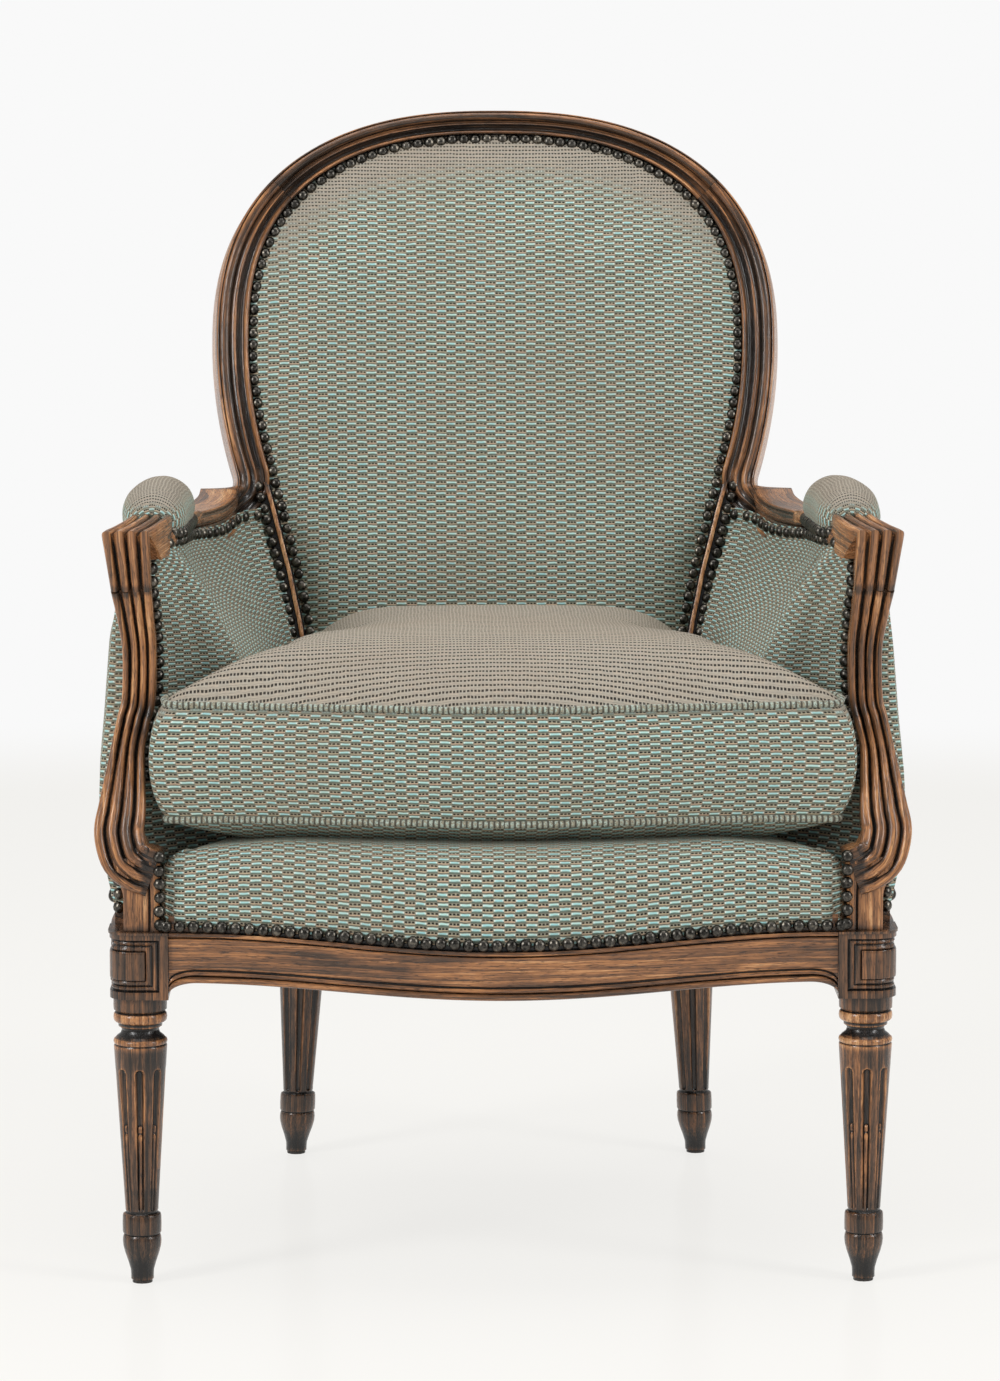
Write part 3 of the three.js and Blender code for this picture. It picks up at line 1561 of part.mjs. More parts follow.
placePair("manchette", clear(manchettePad(), armRestSolid), fabric);
placePair("front_glide", glideSolid(leg.axisX, 0), nylon);
placePair("rear_glide", glideSolid(rearLeg.axisX + rearLeg.splay, rearLeg.axisY + rearLeg.rake), nylon);

const spread = (count, pitch) => range(count).map((i) => (i - (count - 1) / 2) * pitch);
const springColumns = spread(springRowCount, spring.pitchX);
const springRows = spread(springRowCount, spring.pitchY).map((y) => spring.middleY + y);
springRows.forEach((y, row) =>
  springColumns.forEach((x, column) => placeOne(`spring_${row + 1}_${column + 1}`, springAt(x, y), steel)),
);

// The origin goes to the middle of the box, on the floor.
group.updateMatrixWorld(true);
const bounds = new THREE.Box3().setFromObject(group);
const middle = bounds.getCenter(v3(0, 0, 0));
group.children.forEach((mesh) => mesh.position.set(-middle.x, -middle.y, -bounds.min.z));

export default group;
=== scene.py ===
"""A Louis XVI style bergere: turned and moulded wooden frame, arched back, closed arms, loose cushion.

Lengths are in millimetres in the working frame, whose y is 0 on the axes of the front legs, and they
become metres in the shared frame when a mesh is made.
"""

import math
from collections import namedtuple

import bmesh
import bpy
import numpy as np
from mathutils import Matrix, Vector
from mathutils.geometry import delaunay_2d_cdt

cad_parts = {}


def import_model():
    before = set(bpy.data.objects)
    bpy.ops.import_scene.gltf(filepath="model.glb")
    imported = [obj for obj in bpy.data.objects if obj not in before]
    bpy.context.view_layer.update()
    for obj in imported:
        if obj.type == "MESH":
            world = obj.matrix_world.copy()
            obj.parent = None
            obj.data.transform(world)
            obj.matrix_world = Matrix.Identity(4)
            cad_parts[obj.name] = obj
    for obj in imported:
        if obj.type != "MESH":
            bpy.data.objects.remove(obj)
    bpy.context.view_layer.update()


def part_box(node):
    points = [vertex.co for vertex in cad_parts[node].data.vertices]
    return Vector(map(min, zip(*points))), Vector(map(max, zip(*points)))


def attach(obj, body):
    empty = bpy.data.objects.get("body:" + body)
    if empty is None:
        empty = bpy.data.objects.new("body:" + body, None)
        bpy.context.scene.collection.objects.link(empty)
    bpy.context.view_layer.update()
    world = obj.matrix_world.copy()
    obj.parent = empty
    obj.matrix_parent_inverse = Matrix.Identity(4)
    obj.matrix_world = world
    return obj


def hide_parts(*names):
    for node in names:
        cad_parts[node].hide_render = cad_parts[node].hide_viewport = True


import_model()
CHAIR = "chair"
CUSHION = "cushion"
MM = 0.001

# Where the working frame lies in the shared one: the front glides stand on the legs' axes.
GLIDE_LOW, GLIDE_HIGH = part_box("front_glide_right")
SHIFT_Y = (GLIDE_LOW[1] + GLIDE_HIGH[1]) / 2 / MM

# Sizes of the frame
LEG_X = 306.0
LEG_HEIGHT = 247.0
FLUTES = 8
REAR_X = 179.0
REAR_Y = 470.0
REAR_SPLAY = 9.0
REAR_RAKE = 40.0
REAR_BLOCK = 44.0
BLOCK = 50.0
BLOCK_ROUND = 20.0
BLOCK_TOP = 304.0
# Where the frame's ridges are fully lightened, by real rubbing and by a painted highlight: below a distance
# under the front blocks' tops, above a height over the floor, and up to a span over the rear blocks' tops.
BLOCK_WORN_AND_LIT = 72.0
FOOT_WORN_AND_LIT = 80.0
BACK_SPAN = 1000.0
# The most that the arms' and the front rail's ridges are lightened, by real rubbing and by a painted
# highlight.
ARM_WEAR_AND_LIGHT = 0.34
RAIL_WEAR_AND_LIGHT = 0.24
GAP = 0.3
FRONT_FACE = -BLOCK / 2
RAIL_LOW = 251.0
RAIL_HIDDEN_TOP = 318.0
RAIL_LEDGE = 265.5
RAIL_THICK = 28.0
RAIL_BOW = 50.0
RAIL_BOW_SPAN = 275.0
RAIL_DIP = 6.5
RAIL_KNEE = 10.0
RAIL_KNEE_LENGTH = 24.0
RAIL_FACE_DIP = 8.0
RAIL_REBATE = 3.0
RAIL_END = LEG_X - BLOCK / 2 - GAP
POST_HEIGHT = 285.0
POST_X = 311.5
POST_WIDTH = 34.0
POST_DEPTH = 31.0
POST_RELIEF = 4.5
POST_SWING = 20.0
POST_SWEEP = 69.0
ARM_REAR = (257.0, 478.0)
ARM_FRONT = (314.5, -4.0)
ARM_LOW = 606.0
ARM_RISE = 12.0
ARM_HEIGHT = 34.0
ARM_THICK = 30.0
ARM_RELIEF = 5.0
ARM_CORE = 44.0
ARM_EAR = 6.0
HEAD_TOP = 641.0
HEAD_RUN = 66.0
HEAD_LIP = 7.0
HEAD_WIDTH = 40.0
HEAD_REAR_WIDTH = 35.0
BACK_Y = 470.0
BACK_Z = 480.0
RECLINE = math.radians(12.5)
HOLLOW = 20.0
BACK_HALF = 259.5
ARCH_RISE = 219.0
ARCH_WIDEST = 290.0
ARCH_POWER = 2.4
SIDE_RADIUS = 420.0
CREST_ANGLE = math.radians(50)
SIDE_MOULDING = 30.0
TOP_MOULDING = 22.0
BACK_RELIEF = 8.0
BACK_DEPTH = 30.0
TURN_S = 166.0
FLANGE_SHARE = 0.3
STILE_WIDTH = 26.0
STILE_BEAD = 4.0
STILE_LOW = -183.0
STILE_HIGH = 158.0
STILE_WAIST = 179.0
STILE_TOP = 213.0
STILE_SET = 9.0

# Sizes of the upholstery
DECK_TOP = 378.0
CUSHION_LOW = 395.0
CUSHION_HIGH = 492.0
CUSHION_CROWN = 44.0
CUSHION_LIFT = 32.0
CUSHION_BULGE = 7.0
SEAT_HALF = 288.0
SEAT_CORNER = -16.0
EAR_Y = 24.0
SEAT_REAR_HALF = 176.0
SEAT_REAR_Y = 445.0
SEAT_REAR_BOW = 13.0
WELT = 3.0
PAD_CROWN = 32.0
NAIL_RADIUS = 5.3
NAIL_PITCH = 11.7
CLOSE_PITCH = 10.9
PAD_PITCH = 11.4
WIDE_PITCH = 24.0


def v(*values):
    return np.array(values, dtype=float)


def unit(a):
    a = np.asarray(a, dtype=float)
    length = np.linalg.norm(a, axis=-1, keepdims=True)
    return a / np.where(length == 0, 1, length)


def smooth(x, low, high):
    t = np.clip((np.asarray(x, dtype=float) - low) / (high - low), 0, 1)
    return t * t * (3 - 2 * t)


def lerp(a, b, t):
    return a + (b - a) * t


def catmull(points, t):
    """Centripetal Catmull-Rom curve through points, at shares t of its run of points."""
    pts = np.asarray(points, dtype=float)
    ends = [2 * pts[0] - pts[1], 2 * pts[-1] - pts[-2]]
    pts = np.vstack([ends[0], pts, ends[1]])
    made = []
    for share in np.atleast_1d(t):
        place = share * (len(pts) - 3)
        i = min(int(place), len(pts) - 4)
        p0, p1, p2, p3 = pts[i : i + 4]
        d0, d1, d2 = (max(np.linalg.norm(b - a), 1e-8) ** 0.5 for a, b in ((p0, p1), (p1, p2), (p2, p3)))
        m1 = ((p1 - p0) / d0 - (p2 - p0) / (d0 + d1) + (p2 - p1) / d1) * d1
        m2 = ((p2 - p1) / d1 - (p3 - p1) / (d1 + d2) + (p3 - p2) / d2) * d1
        x = place - i
        made.append(
            p1 + m1 * x + (-3 * p1 + 3 * p2 - 2 * m1 - m2) * x**2 + (2 * p1 - 2 * p2 + m1 + m2) * x**3
        )
    return np.array(made)


def run_length(points):
    """How far along a line of points each of them lies."""
    pts = np.asarray(points, dtype=float)
    return np.concatenate([[0], np.cumsum(np.linalg.norm(np.diff(pts, axis=0), axis=1))])


def sampled(points, run, wanted):
    """Places on a line of points at wanted lengths along it, where its points lie at the lengths of run."""
    return np.stack([np.interp(wanted, run, column) for column in np.asarray(points).T], axis=-1)


def along(points, count, closed=False):
    """Points spaced evenly by length along a line of points."""
    pts = np.asarray(points, dtype=float)
    if closed:
        pts = np.vstack([pts, pts[:1]])
    run = run_length(pts)
    made = sampled(pts, run, np.linspace(0, run[-1], count + 1 if closed else count))
    return made[:-1] if closed else made


def at_share(table, share):
    """What a table says at a share: its first column holds the shares."""
    table = np.array(table)
    return [np.interp(share, table[:, 0], column) for column in table.T[1:]]


def grid_faces(rows, columns, closed):
    """Quads over a grid of rows times columns of points, whose last column joins its first if closed."""
    faces = []
    for r in range(rows - 1):
        here, there = r * columns, (r + 1) * columns
        for c in range(columns if closed else columns - 1):
            after = (c + 1) % columns
            faces.append((here + c, here + after, there + after, there + c))
    return faces


def flip_x(points):
    return np.asarray(points, dtype=float) * v(-1, 1, 1)


# How far the grain of a left piece is shifted, so that it doesn't show its right twin's figure.
MIRROR_SHIFT = v(900, 0, 70)


class Build:
    """Collects the points, faces and attributes of one piece, in working millimetres."""

    def __init__(self):
        self.points = []
        self.faces = []
        self.grain = []
        self.uv = []
        self.count = 0

    def add(self, points, faces, grain=None, uv=None):
        points = np.asarray(points, dtype=float).reshape(-1, 3)
        grain = points if grain is None else np.asarray(grain, dtype=float)
        uv = np.zeros((len(points), 2)) if uv is None else np.asarray(uv, dtype=float)
        self.faces += [tuple(i + self.count for i in face) for face in faces]
        self.points.append(points)
        self.grain.append(grain.reshape(-1, 3))
        self.uv.append(uv.reshape(-1, 2))
        self.count += len(points)

    def grid(self, points, grain=None, uv=None, closed=False):
        """A skin over points[row][column]."""
        points = np.asarray(points, dtype=float)
        self.add(points, grid_faces(*points.shape[:2], closed), grain, uv)

    def solid(self, points, grain=None):
        """A closed skin over points[row][column], with its first and last row filled."""
        points = np.asarray(points, dtype=float)
        rows, columns = points.shape[:2]
        ends = [tuple(range(columns))[::-1], tuple(range((rows - 1) * columns, rows * columns))]
        self.add(points, grid_faces(rows, columns, True) + ends, grain)

    def mirrored(self):
        other = Build()
        other.points = [flip_x(p) for p in self.points]
        other.faces = [face[::-1] for face in self.faces]
        other.grain = [g + MIRROR_SHIFT for g in self.grain]
        other.uv = [u * v(-1, 1) for u in self.uv]
        other.count = self.count
        return other


def edited(mesh, change):
    """Makes a change to a mesh by way of its editable form."""
    bm = bmesh.new()
    bm.from_mesh(mesh)
    change(bm)
    bm.to_mesh(mesh)
    bm.free()


def read(items, key, width, kind=float):
    """What all the items of a mesh hold under a key, as one row for each."""
    made = np.empty(len(items) * width, dtype=kind)
    items.foreach_get(key, made)
    return made.reshape(-1, width)


def places_of(mesh):
    return read(mesh.vertices, "co", 3)


CAP_SIDES = 8
WEAR_AND_LIGHT_ROUNDS = 10
CAP_FADE = (0.3, 0.95)
# The span of upward facing over which cloth gets a painted sheen.
GRAZING_SHEEN_SPAN = (0.25, 0.75)


# This relief drives the wood's painted highlight on its ridges, over real rubbing, and its painted shade in
# its grooves.
def wear_of(mesh):
    """How far each point stands out of its surroundings, in millimetres: ridges above 0, grooves below.

    It fades out towards the cut ends of a moulding, which are faces with many sides.
    """
    count = len(mesh.vertices)
    place = places_of(mesh) / MM
    a, b = read(mesh.edges, "vertices", 2, int).T
    degree = np.bincount(np.concatenate([a, b]), minlength=count).reshape(-1, 1)
    at_end = [i for face in mesh.polygons if face.loop_total > CAP_SIDES for i in face.vertices]
    kept = np.ones((count, 1))
    kept[at_end] = 0
    moved = np.hstack([place, kept])
    for _ in range(WEAR_AND_LIGHT_ROUNDS):
        total = np.zeros_like(moved)
        np.add.at(total, a, moved[b])
        np.add.at(total, b, moved[a])
        moved = (moved + total / np.maximum(degree, 1)) / 2
        moved[at_end, 3] = 0
    stands_out = ((place - moved[:, :3]) * read(mesh.vertices, "normal", 3)).sum(axis=1)
    return stands_out * smooth(moved[:, 3], *CAP_FADE)


def rubbed_of(mesh):
    """How far each point of a cover looks up, where a painted sheen greys and softens its pattern: 0 to 1."""
    return smooth(read(mesh.vertices, "normal", 3)[:, 2], *GRAZING_SHEEN_SPAN)


# The most that ridges outside a piece's span of heights are lightened, by real rubbing and by a painted
# highlight.
CALM_WEAR_AND_LIGHT = 0.05
# Angles in degrees over which an edge is shown sharp, and the distance in which points are made one.
SHARP, SMOOTH_ALL = 38.0, 180.0
WELD = 0.02
TO_SHARED = v(0, SHIFT_Y, 0)


def make(
    name,
    build,
    material,
    body=CHAIR,
    replaces=(),
    slot=None,
    sharp=SHARP,
    wear=1.0,
    worn_span=None,
    rubbed=False,
):
    """Makes a Blender object from what was collected, and places it in the shared frame.

    One option caps how far its ridges are lightened, by real rubbing and by a painted highlight, and another
    gives the heights outside which they are lightened less. A third marks cloth that looks up, for a painted
    sheen.
    """
    points = np.vstack(build.points) + TO_SHARED
    mesh = bpy.data.meshes.new(name)
    mesh.from_pydata((points * MM).tolist(), [], build.faces)
    grain = mesh.attributes.new("grain", "FLOAT_VECTOR", "POINT")
    grain.data.foreach_set("vector", (np.vstack(build.grain) * MM).ravel())
    uv = mesh.uv_layers.new(name="cloth")
    corner = read(mesh.loops, "vertex_index", 1, int)[:, 0]
    uv.data.foreach_set("uv", (np.vstack(build.uv)[corner] * MM).ravel())
    edited(mesh, lambda bm: bmesh.ops.remove_doubles(bm, verts=bm.verts, dist=WELD * MM))
    mesh.validate()
    edited(mesh, lambda bm: bmesh.ops.recalc_face_normals(bm, faces=bm.faces))
    mesh.polygons.foreach_set("use_smooth", [True] * len(mesh.polygons))
    mesh.set_sharp_from_angle(angle=math.radians(sharp))
    # The relief written here lightens the wood's ridges, by real rubbing and by a painted highlight, and
    # darkens its grooves by painted shade.
    if wear:
        worn = mesh.attributes.new("wear", "FLOAT", "POINT")
        height = places_of(mesh)[:, 2] / MM
        low, high = worn_span or (height.min(), height.max())
        limit = np.where((height < low) | (height > high), min(CALM_WEAR_AND_LIGHT, wear), wear)
        worn.data.foreach_set("value", np.minimum(wear_of(mesh), limit))
    # Cloth that looks up is marked for a painted sheen, which greys and softens its pattern.
    if rubbed:
        sheen_layer = mesh.attributes.new("rubbed", "FLOAT", "POINT")
        sheen_layer.data.foreach_set("value", rubbed_of(mesh))
    obj = bpy.data.objects.new(name, mesh)
    bpy.context.collection.objects.link(obj)
    mesh.materials.append(material)
    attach(obj, body)
    if replaces:
        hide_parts(*replaces)
    return obj


def make_pair(name, build, material, node=None, **options):
    """The same piece on both sides: the part's right is +X."""
    pair = []
    for side, made in (("right", build), ("left", build.mirrored())):
        nodes = (f"{node}_{side}",) if node else ()
        pair.append(make(f"{name}_{side}", made, material, replaces=nodes, **options))
    return pair


# Materials


class Shader:
    """A small helper that wires shader nodes together."""

    def __init__(self, name):
        self.material = bpy.data.materials.new(name)
        self.material.use_nodes = True
        self.tree = self.material.node_tree
        self.tree.nodes.clear()
        self.out = self.tree.nodes.new("ShaderNodeOutputMaterial")
        self.surface = self.tree.nodes.new("ShaderNodeBsdfPrincipled")
        self.tree.links.new(self.surface.outputs["BSDF"], self.out.inputs["Surface"])

    def node(self, kind, **settings):
        made = self.tree.nodes.new(kind)
        for key, value in settings.items():
            setattr(made, key, value)
        return made

    def feed(self, socket, value):
        if hasattr(value, "links"):
            self.tree.links.new(value, socket)
        else:
            socket.default_value = value

    def feed_first(self, made, *values):
        """Feeds a node's first inputs in their order."""
        for socket, value in zip(made.inputs, values):
            self.feed(socket, value)
        return made

    def feed_named(self, made, **values):
        for key, value in values.items():
            self.feed(made.inputs[key.replace("_", " ")], value)
        return made

    def math(self, operation, a, b=0.0, c=0.0, clamp=False):
        made = self.node("ShaderNodeMath", operation=operation, use_clamp=clamp)
        return self.feed_first(made, a, b, c).outputs[0]

    def times(self, a, b):
        return self.math("MULTIPLY", a, b)

    def minus(self, a, b):
        return self.math("SUBTRACT", a, b)

    def line(self, value, slope, start):
        return self.math("MULTIPLY_ADD", value, slope, start)

    def vary(self, start, noise, amount, clamp=False):
        """A value moved up and down by a noise of 0 to 1."""
        return self.math("MULTIPLY_ADD", self.minus(noise, 0.5), amount, start, clamp)

    def off(self, value, middle):
        """How far a value is from a middle, either way."""
        return self.math("ABSOLUTE", self.minus(value, middle))

    def stretched(self, place, factors):
        made = self.node("ShaderNodeVectorMath", operation="MULTIPLY")
        return self.feed_first(made, place, factors).outputs[0]

    def ease(self, value, low, high):
        """0 below low, 1 above high."""
        made = self.node("ShaderNodeMapRange", interpolation_type="SMOOTHSTEP")
        return self.feed_first(made, value, low, high, 0.0, 1.0).outputs[0]

    def fade(self, value, low, high):
        """1 below low, 0 above high."""
        return self.minus(1.0, self.ease(value, low, high))

    def mix(self, share, a, b):
        made = self.node("ShaderNodeMix", data_type="RGBA")
        self.feed(made.inputs[0], share)
        self.feed(made.inputs[6], a)
        self.feed(made.inputs[7], b)
        return made.outputs[2]

    def tint(self, colour, share, strength, other):
        """A colour with another laid over it where a share is high."""
        return self.mix(self.times(share, strength), colour, other)

    def noise(self, place, scale, detail=3.0, roughness=0.5):
        made = self.node("ShaderNodeTexNoise")
        self.feed_named(made, Vector=place, Scale=scale, Detail=detail, Roughness=roughness)
        return made.outputs["Fac"]

    def ramp(self, share, stops):
        made = self.feed_first(self.node("ShaderNodeValToRGB"), share)
        elements = made.color_ramp.elements
        while len(elements) < len(stops):
            elements.new(0.5)
        for element, (place, colour) in zip(elements, stops):
            element.position = place
            element.color = colour
        return made.outputs[0]

    def attribute(self, name, output="Vector"):
        return self.node("ShaderNodeAttribute", attribute_name=name).outputs[output]

    def position(self):
        return self.node("ShaderNodeNewGeometry").outputs["Position"]

    def cloth(self):
        return self.node("ShaderNodeUVMap", uv_map="cloth").outputs[0]

    def split(self, place):
        return self.feed_first(self.node("ShaderNodeSeparateXYZ"), place).outputs

    def bump(self, height, distance, strength):
        made = self.node("ShaderNodeBump")
        return self.feed_named(made, Strength=strength, Distance=distance, Height=height).outputs[0]

    def set(self, **sockets):
        self.feed_named(self.surface, **sockets)
        return self.material


def rgb(red, green, blue):
    """A linear colour, with its alpha of 1, from display values of 0 to 255."""
    shares = [x / 255 for x in (red, green, blue)]
    return (*(c / 12.92 if c <= 0.04045 else ((c + 0.055) / 1.055) ** 2.4 for c in shares), 1)


# The wood's noises: how much each is squeezed across and along the grain.
FIBRE_SCALE = (700, 700, 16)
PORE_SCALE = (1900, 1900, 120)
TONE_SCALE = (30, 30, 8)
RING_SCALE = (26, 26, 3.2)
WOOD_MIDDLE = 0.37
# How the relief moves the wood's tone: lighter on the ridges, where the orange is real rubbing with a painted
# highlight over it, and darker in the grooves, which is painted shade.
WEAR_AND_LIGHT_SLOPE, WEAR_AND_LIGHT_MOST, WEAR_AND_LIGHT_LEAST = 0.9, 0.42, -0.3
FIBRE_SHARE, TONE_SHARE, RING_SHARE = 0.95, 1.2, 0.28
WOOD_TONES = [
    (0.0, rgb(16, 13, 11)), (0.2, rgb(42, 33, 26)), (0.4, rgb(82, 60, 44)), (0.6, rgb(126, 86, 57)),
    (0.8, rgb(174, 120, 76)), (1.0, rgb(214, 164, 116)),
]
# Near black painted into the grooves: painted shade.
PAINTED_GROOVE_SHADE = rgb(14, 12, 11)
PORE_DARK = rgb(20, 15, 12)


def make_wood(name):
    """Beech stained a dark walnut, lightened to orange brown on the ridges by real rubbing with a painted
    highlight over it, and near black in the grooves by painted shade.
    """
    s = Shader(name)
    grain = s.attribute("grain")
    fibre = s.noise(s.stretched(grain, FIBRE_SCALE), 1.0, 4.0, 0.65)
    pore = s.noise(s.stretched(grain, PORE_SCALE), 1.0, 2.0, 0.5)
    tone = s.noise(s.stretched(grain, TONE_SCALE), 1.0, 4.0, 0.65)
    rings = s.node("ShaderNodeTexWave", wave_type="RINGS", rings_direction="Z", wave_profile="SAW")
    place = s.stretched(grain, RING_SCALE)
    s.feed_named(rings, Vector=place, Scale=1.6, Distortion=5.0, Detail=2.0, Detail_Scale=1.4)
    worn = s.attribute("wear", "Fac")
    # The relief lightens the ridges, by real rubbing and by a painted highlight, and darkens the grooves by
    # painted shade.
    wear = s.math("MAXIMUM", s.math("MINIMUM", s.times(worn, WEAR_AND_LIGHT_SLOPE), WEAR_AND_LIGHT_MOST), WEAR_AND_LIGHT_LEAST)
    share = s.math("ADD", WOOD_MIDDLE, wear)
    share = s.vary(share, fibre, FIBRE_SHARE)
    share = s.vary(share, tone, TONE_SHARE)
    share = s.vary(share, rings.outputs["Fac"], RING_SHARE, clamp=True)
    colour = s.ramp(share, WOOD_TONES)
    # Painted shade: the grooves are darkened towards near black.
    groove_shade_mask = s.ease(s.times(worn, -1.0), 0.2, 0.75)
    colour = s.tint(colour, groove_shade_mask, 0.7, PAINTED_GROOVE_SHADE)
    dark_pores = s.ease(pore, 0.55, 0.66)
    colour = s.tint(colour, dark_pores, 0.75, PORE_DARK)
    return s.set(
        Base_Color=colour,
        Roughness=s.line(fibre, 0.2, 0.16),
        Specular_IOR_Level=0.32,
        Coat_Weight=0.32,
        Coat_Roughness=0.09,
        Normal=s.bump(s.line(dark_pores, -0.6, fibre), 0.0005, 0.5),
    )


# The weave, in millimetres: length of a float, pitch of the rows, and pitch of the ribs on a welt.
FLOAT_LENGTH = 9.2
ROW_PITCH = 3.4
RIB_PITCH = 4.6
# Middles of what lies across a row, as shares of its pitch: float, knots, warm thread and green thread.
FLOAT_MIDDLE = 0.56
KNOT_MIDDLE = 0.6
WARM_MIDDLE = 0.26
GREEN_MIDDLE = 0.22
# The knots along a cell, as shares of a float's length.
KNOT_START, KNOT_PITCH = 0.16, 0.34
# The two colours of a thread, between which each cell has its own.
GROUND_TONES = (rgb(176, 168, 146), rgb(150, 150, 134))
WARM_TONES = (rgb(206, 168, 140), rgb(184, 168, 136))
AQUA_TONES = (rgb(160, 214, 216), rgb(188, 222, 214))


def make_weave(name):
    """Aqua floats in a brick pattern on a taupe ground with rows of small dark knots between them."""
    s = Shader(name)
    cloth = s.cloth()
    across, up = s.split(cloth)[:2]
    up = s.vary(s.math("DIVIDE", up, ROW_PITCH * MM), s.noise(cloth, 130.0, 2.0), 0.4)
    across = s.vary(s.math("DIVIDE", across, FLOAT_LENGTH * MM), s.noise(cloth, 47.0, 2.0), 0.5)
    row = s.math("FLOOR", up)
    cell = s.math("FLOOR", across)
    in_row = s.minus(up, row)
    in_cell = s.minus(across, cell)
    is_float = s.math("LESS_THAN", s.math("FLOORED_MODULO", s.math("ADD", row, cell), 2.0), 0.5)
    is_ground = s.minus(1.0, is_float)

    spot = s.node("ShaderNodeTexWhiteNoise", noise_dimensions="2D")
    place = s.feed_first(s.node("ShaderNodeCombineXYZ"), cell, row)
    chance = s.feed_first(spot, place.outputs[0]).outputs["Value"]
    thread = s.noise(s.stretched(cloth, (260, 2600, 1)), 1.0, 2.0)
    # Painted sheen: where cloth looks up it is greyed, its floats, seams and coloured threads fade and its
    # knots show over the floats, for how the weave looks at a grazing angle.
    rubbed = s.attribute("rubbed", "Fac")
    crisp = s.line(rubbed, -0.75, 1.0)

    from_end = s.off(in_cell, 0.5)
    body = s.fade(s.off(in_row, FLOAT_MIDDLE), 0.15, 0.27)
    ends = s.fade(from_end, 0.42, 0.5)
    floats = s.times(s.times(s.times(body, ends), is_float), crisp)

    knot_at = s.math("DIVIDE", s.minus(in_cell, KNOT_START), KNOT_PITCH)
    knot_x = s.fade(s.off(knot_at, s.math("ROUND", knot_at)), 0.24, 0.4)
    knot_y = s.fade(s.off(in_row, KNOT_MIDDLE), 0.12, 0.27)
    knots = s.times(s.times(knot_x, knot_y), s.math("MAXIMUM", is_ground, rubbed))

    ground = s.mix(chance, *GROUND_TONES)
    ground = s.mix(s.ease(thread, 0.35, 0.7), ground, rgb(116, 118, 104))
    seam = s.ease(s.off(in_row, 0.5), 0.36, 0.48)
    ground = s.tint(ground, s.times(seam, crisp), 0.75, rgb(62, 68, 60))
    warm = s.times(s.times(s.fade(s.off(in_row, WARM_MIDDLE), 0.05, 0.2), is_ground), crisp)
    ground = s.tint(ground, warm, 0.7, s.mix(chance, *WARM_TONES))
    green = s.times(s.times(s.fade(s.off(in_row, GREEN_MIDDLE), 0.08, 0.22), is_float), crisp)
    ground = s.tint(ground, green, 0.75, rgb(92, 122, 112))
    aqua = s.mix(chance, *AQUA_TONES)
    # Painted highlight: the floats whiten towards their ends.
    aqua = s.tint(aqua, s.ease(from_end, 0.28, 0.42), 0.8, rgb(236, 242, 234))
    # Painted sheen: floats and ground turn grey taupe where the cloth looks up.
    aqua = s.tint(aqua, rubbed, 0.9, rgb(186, 178, 168))
    ground = s.tint(ground, rubbed, 0.6, rgb(172, 160, 148))
    colour = s.mix(floats, ground, aqua)
    colour = s.tint(colour, knots, 0.97, rgb(12, 11, 10))
    stain = s.noise(s.attribute("grain"), 9.0, 3.0)
    colour = s.tint(colour, s.ease(stain, 0.35, 0.75), 0.16, rgb(128, 108, 88))

    height = s.line(seam, -0.6, s.line(knots, -0.7, floats))
    return s.set(
        Base_Color=colour,
        Roughness=0.75,
        Specular_IOR_Level=0.2,
        Sheen_Weight=0.22,
        Sheen_Roughness=0.45,
        Sheen_Tint=rgb(226, 208, 186),
        Normal=s.bump(height, 0.0007, 0.8),
    )


def make_piping(name):
    """The same cloth cut on the straight and wrapped round a cord, with its floats seen as ribs."""
    s = Shader(name)
    rib = s.math("DIVIDE", s.split(s.cloth())[0], RIB_PITCH * MM)
    in_rib = s.off(s.math("FRACT", rib), 0.5)
    fuzz = s.noise(s.attribute("grain"), 420.0, 2.0)
    light = s.mix(s.ease(fuzz, 0.4, 0.6), rgb(166, 180, 168), rgb(146, 140, 120))
    colour = s.mix(s.ease(in_rib, 0.2, 0.42), light, rgb(70, 66, 54))
    speck = s.noise(s.attribute("grain"), 900.0, 1.0)
    colour = s.tint(colour, s.ease(speck, 0.52, 0.66), 0.6, rgb(58, 52, 44))
    return s.set(
        Base_Color=colour,
        Roughness=0.8,
        Sheen_Weight=0.15,
        Sheen_Roughness=0.5,
        Normal=s.bump(s.minus(0.5, in_rib), 0.0009, 0.9),
    )


def make_nail_metal(name):
    """Antiqued brass, darkened to pewter, with small dents."""
    s = Shader(name)
    grain = s.attribute("grain")
    patina = s.noise(grain, 420.0, 3.0, 0.6)
    share = s.vary(patina, s.noise(grain, 60.0, 1.0), 0.5, clamp=True)
    tones = [(0.3, rgb(38, 37, 35)), (0.55, rgb(84, 81, 76)), (0.8, rgb(136, 128, 114))]
    return s.set(
        Base_Color=s.ramp(share, tones),
        Metallic=1.0,
        Roughness=s.line(patina, 0.25, 0.17),
        Normal=s.bump(s.noise(grain, 700.0, 2.0), 0.0003, 0.35),
    )


def make_coarse_weave(name, light, dark, pitch):
    """A plain open weave, for the webbing and the dust cover."""
    s = Shader(name)
    place = s.split(s.position())
    waves = [s.math("SINE", s.times(place[k], 2 * math.pi / (pitch * MM))) for k in (0, 1)]
    checks = s.line(s.times(*waves), 0.5, 0.5)
    share = s.vary(checks, s.noise(s.position(), 300.0, 3.0), 0.6, clamp=True)
    return s.set(Base_Color=s.mix(share, dark, light), Roughness=0.9, Normal=s.bump(checks, 0.0003, 0.6))


def make_steel(name):
    s = Shader(name)
    fuzz = s.noise(s.position(), 260.0, 3.0)
    colour = s.ramp(fuzz, [(0.3, rgb(110, 110, 112)), (0.7, rgb(150, 148, 146))])
    return s.set(Base_Color=colour, Metallic=1.0, Roughness=s.line(fuzz, 0.2, 0.3))


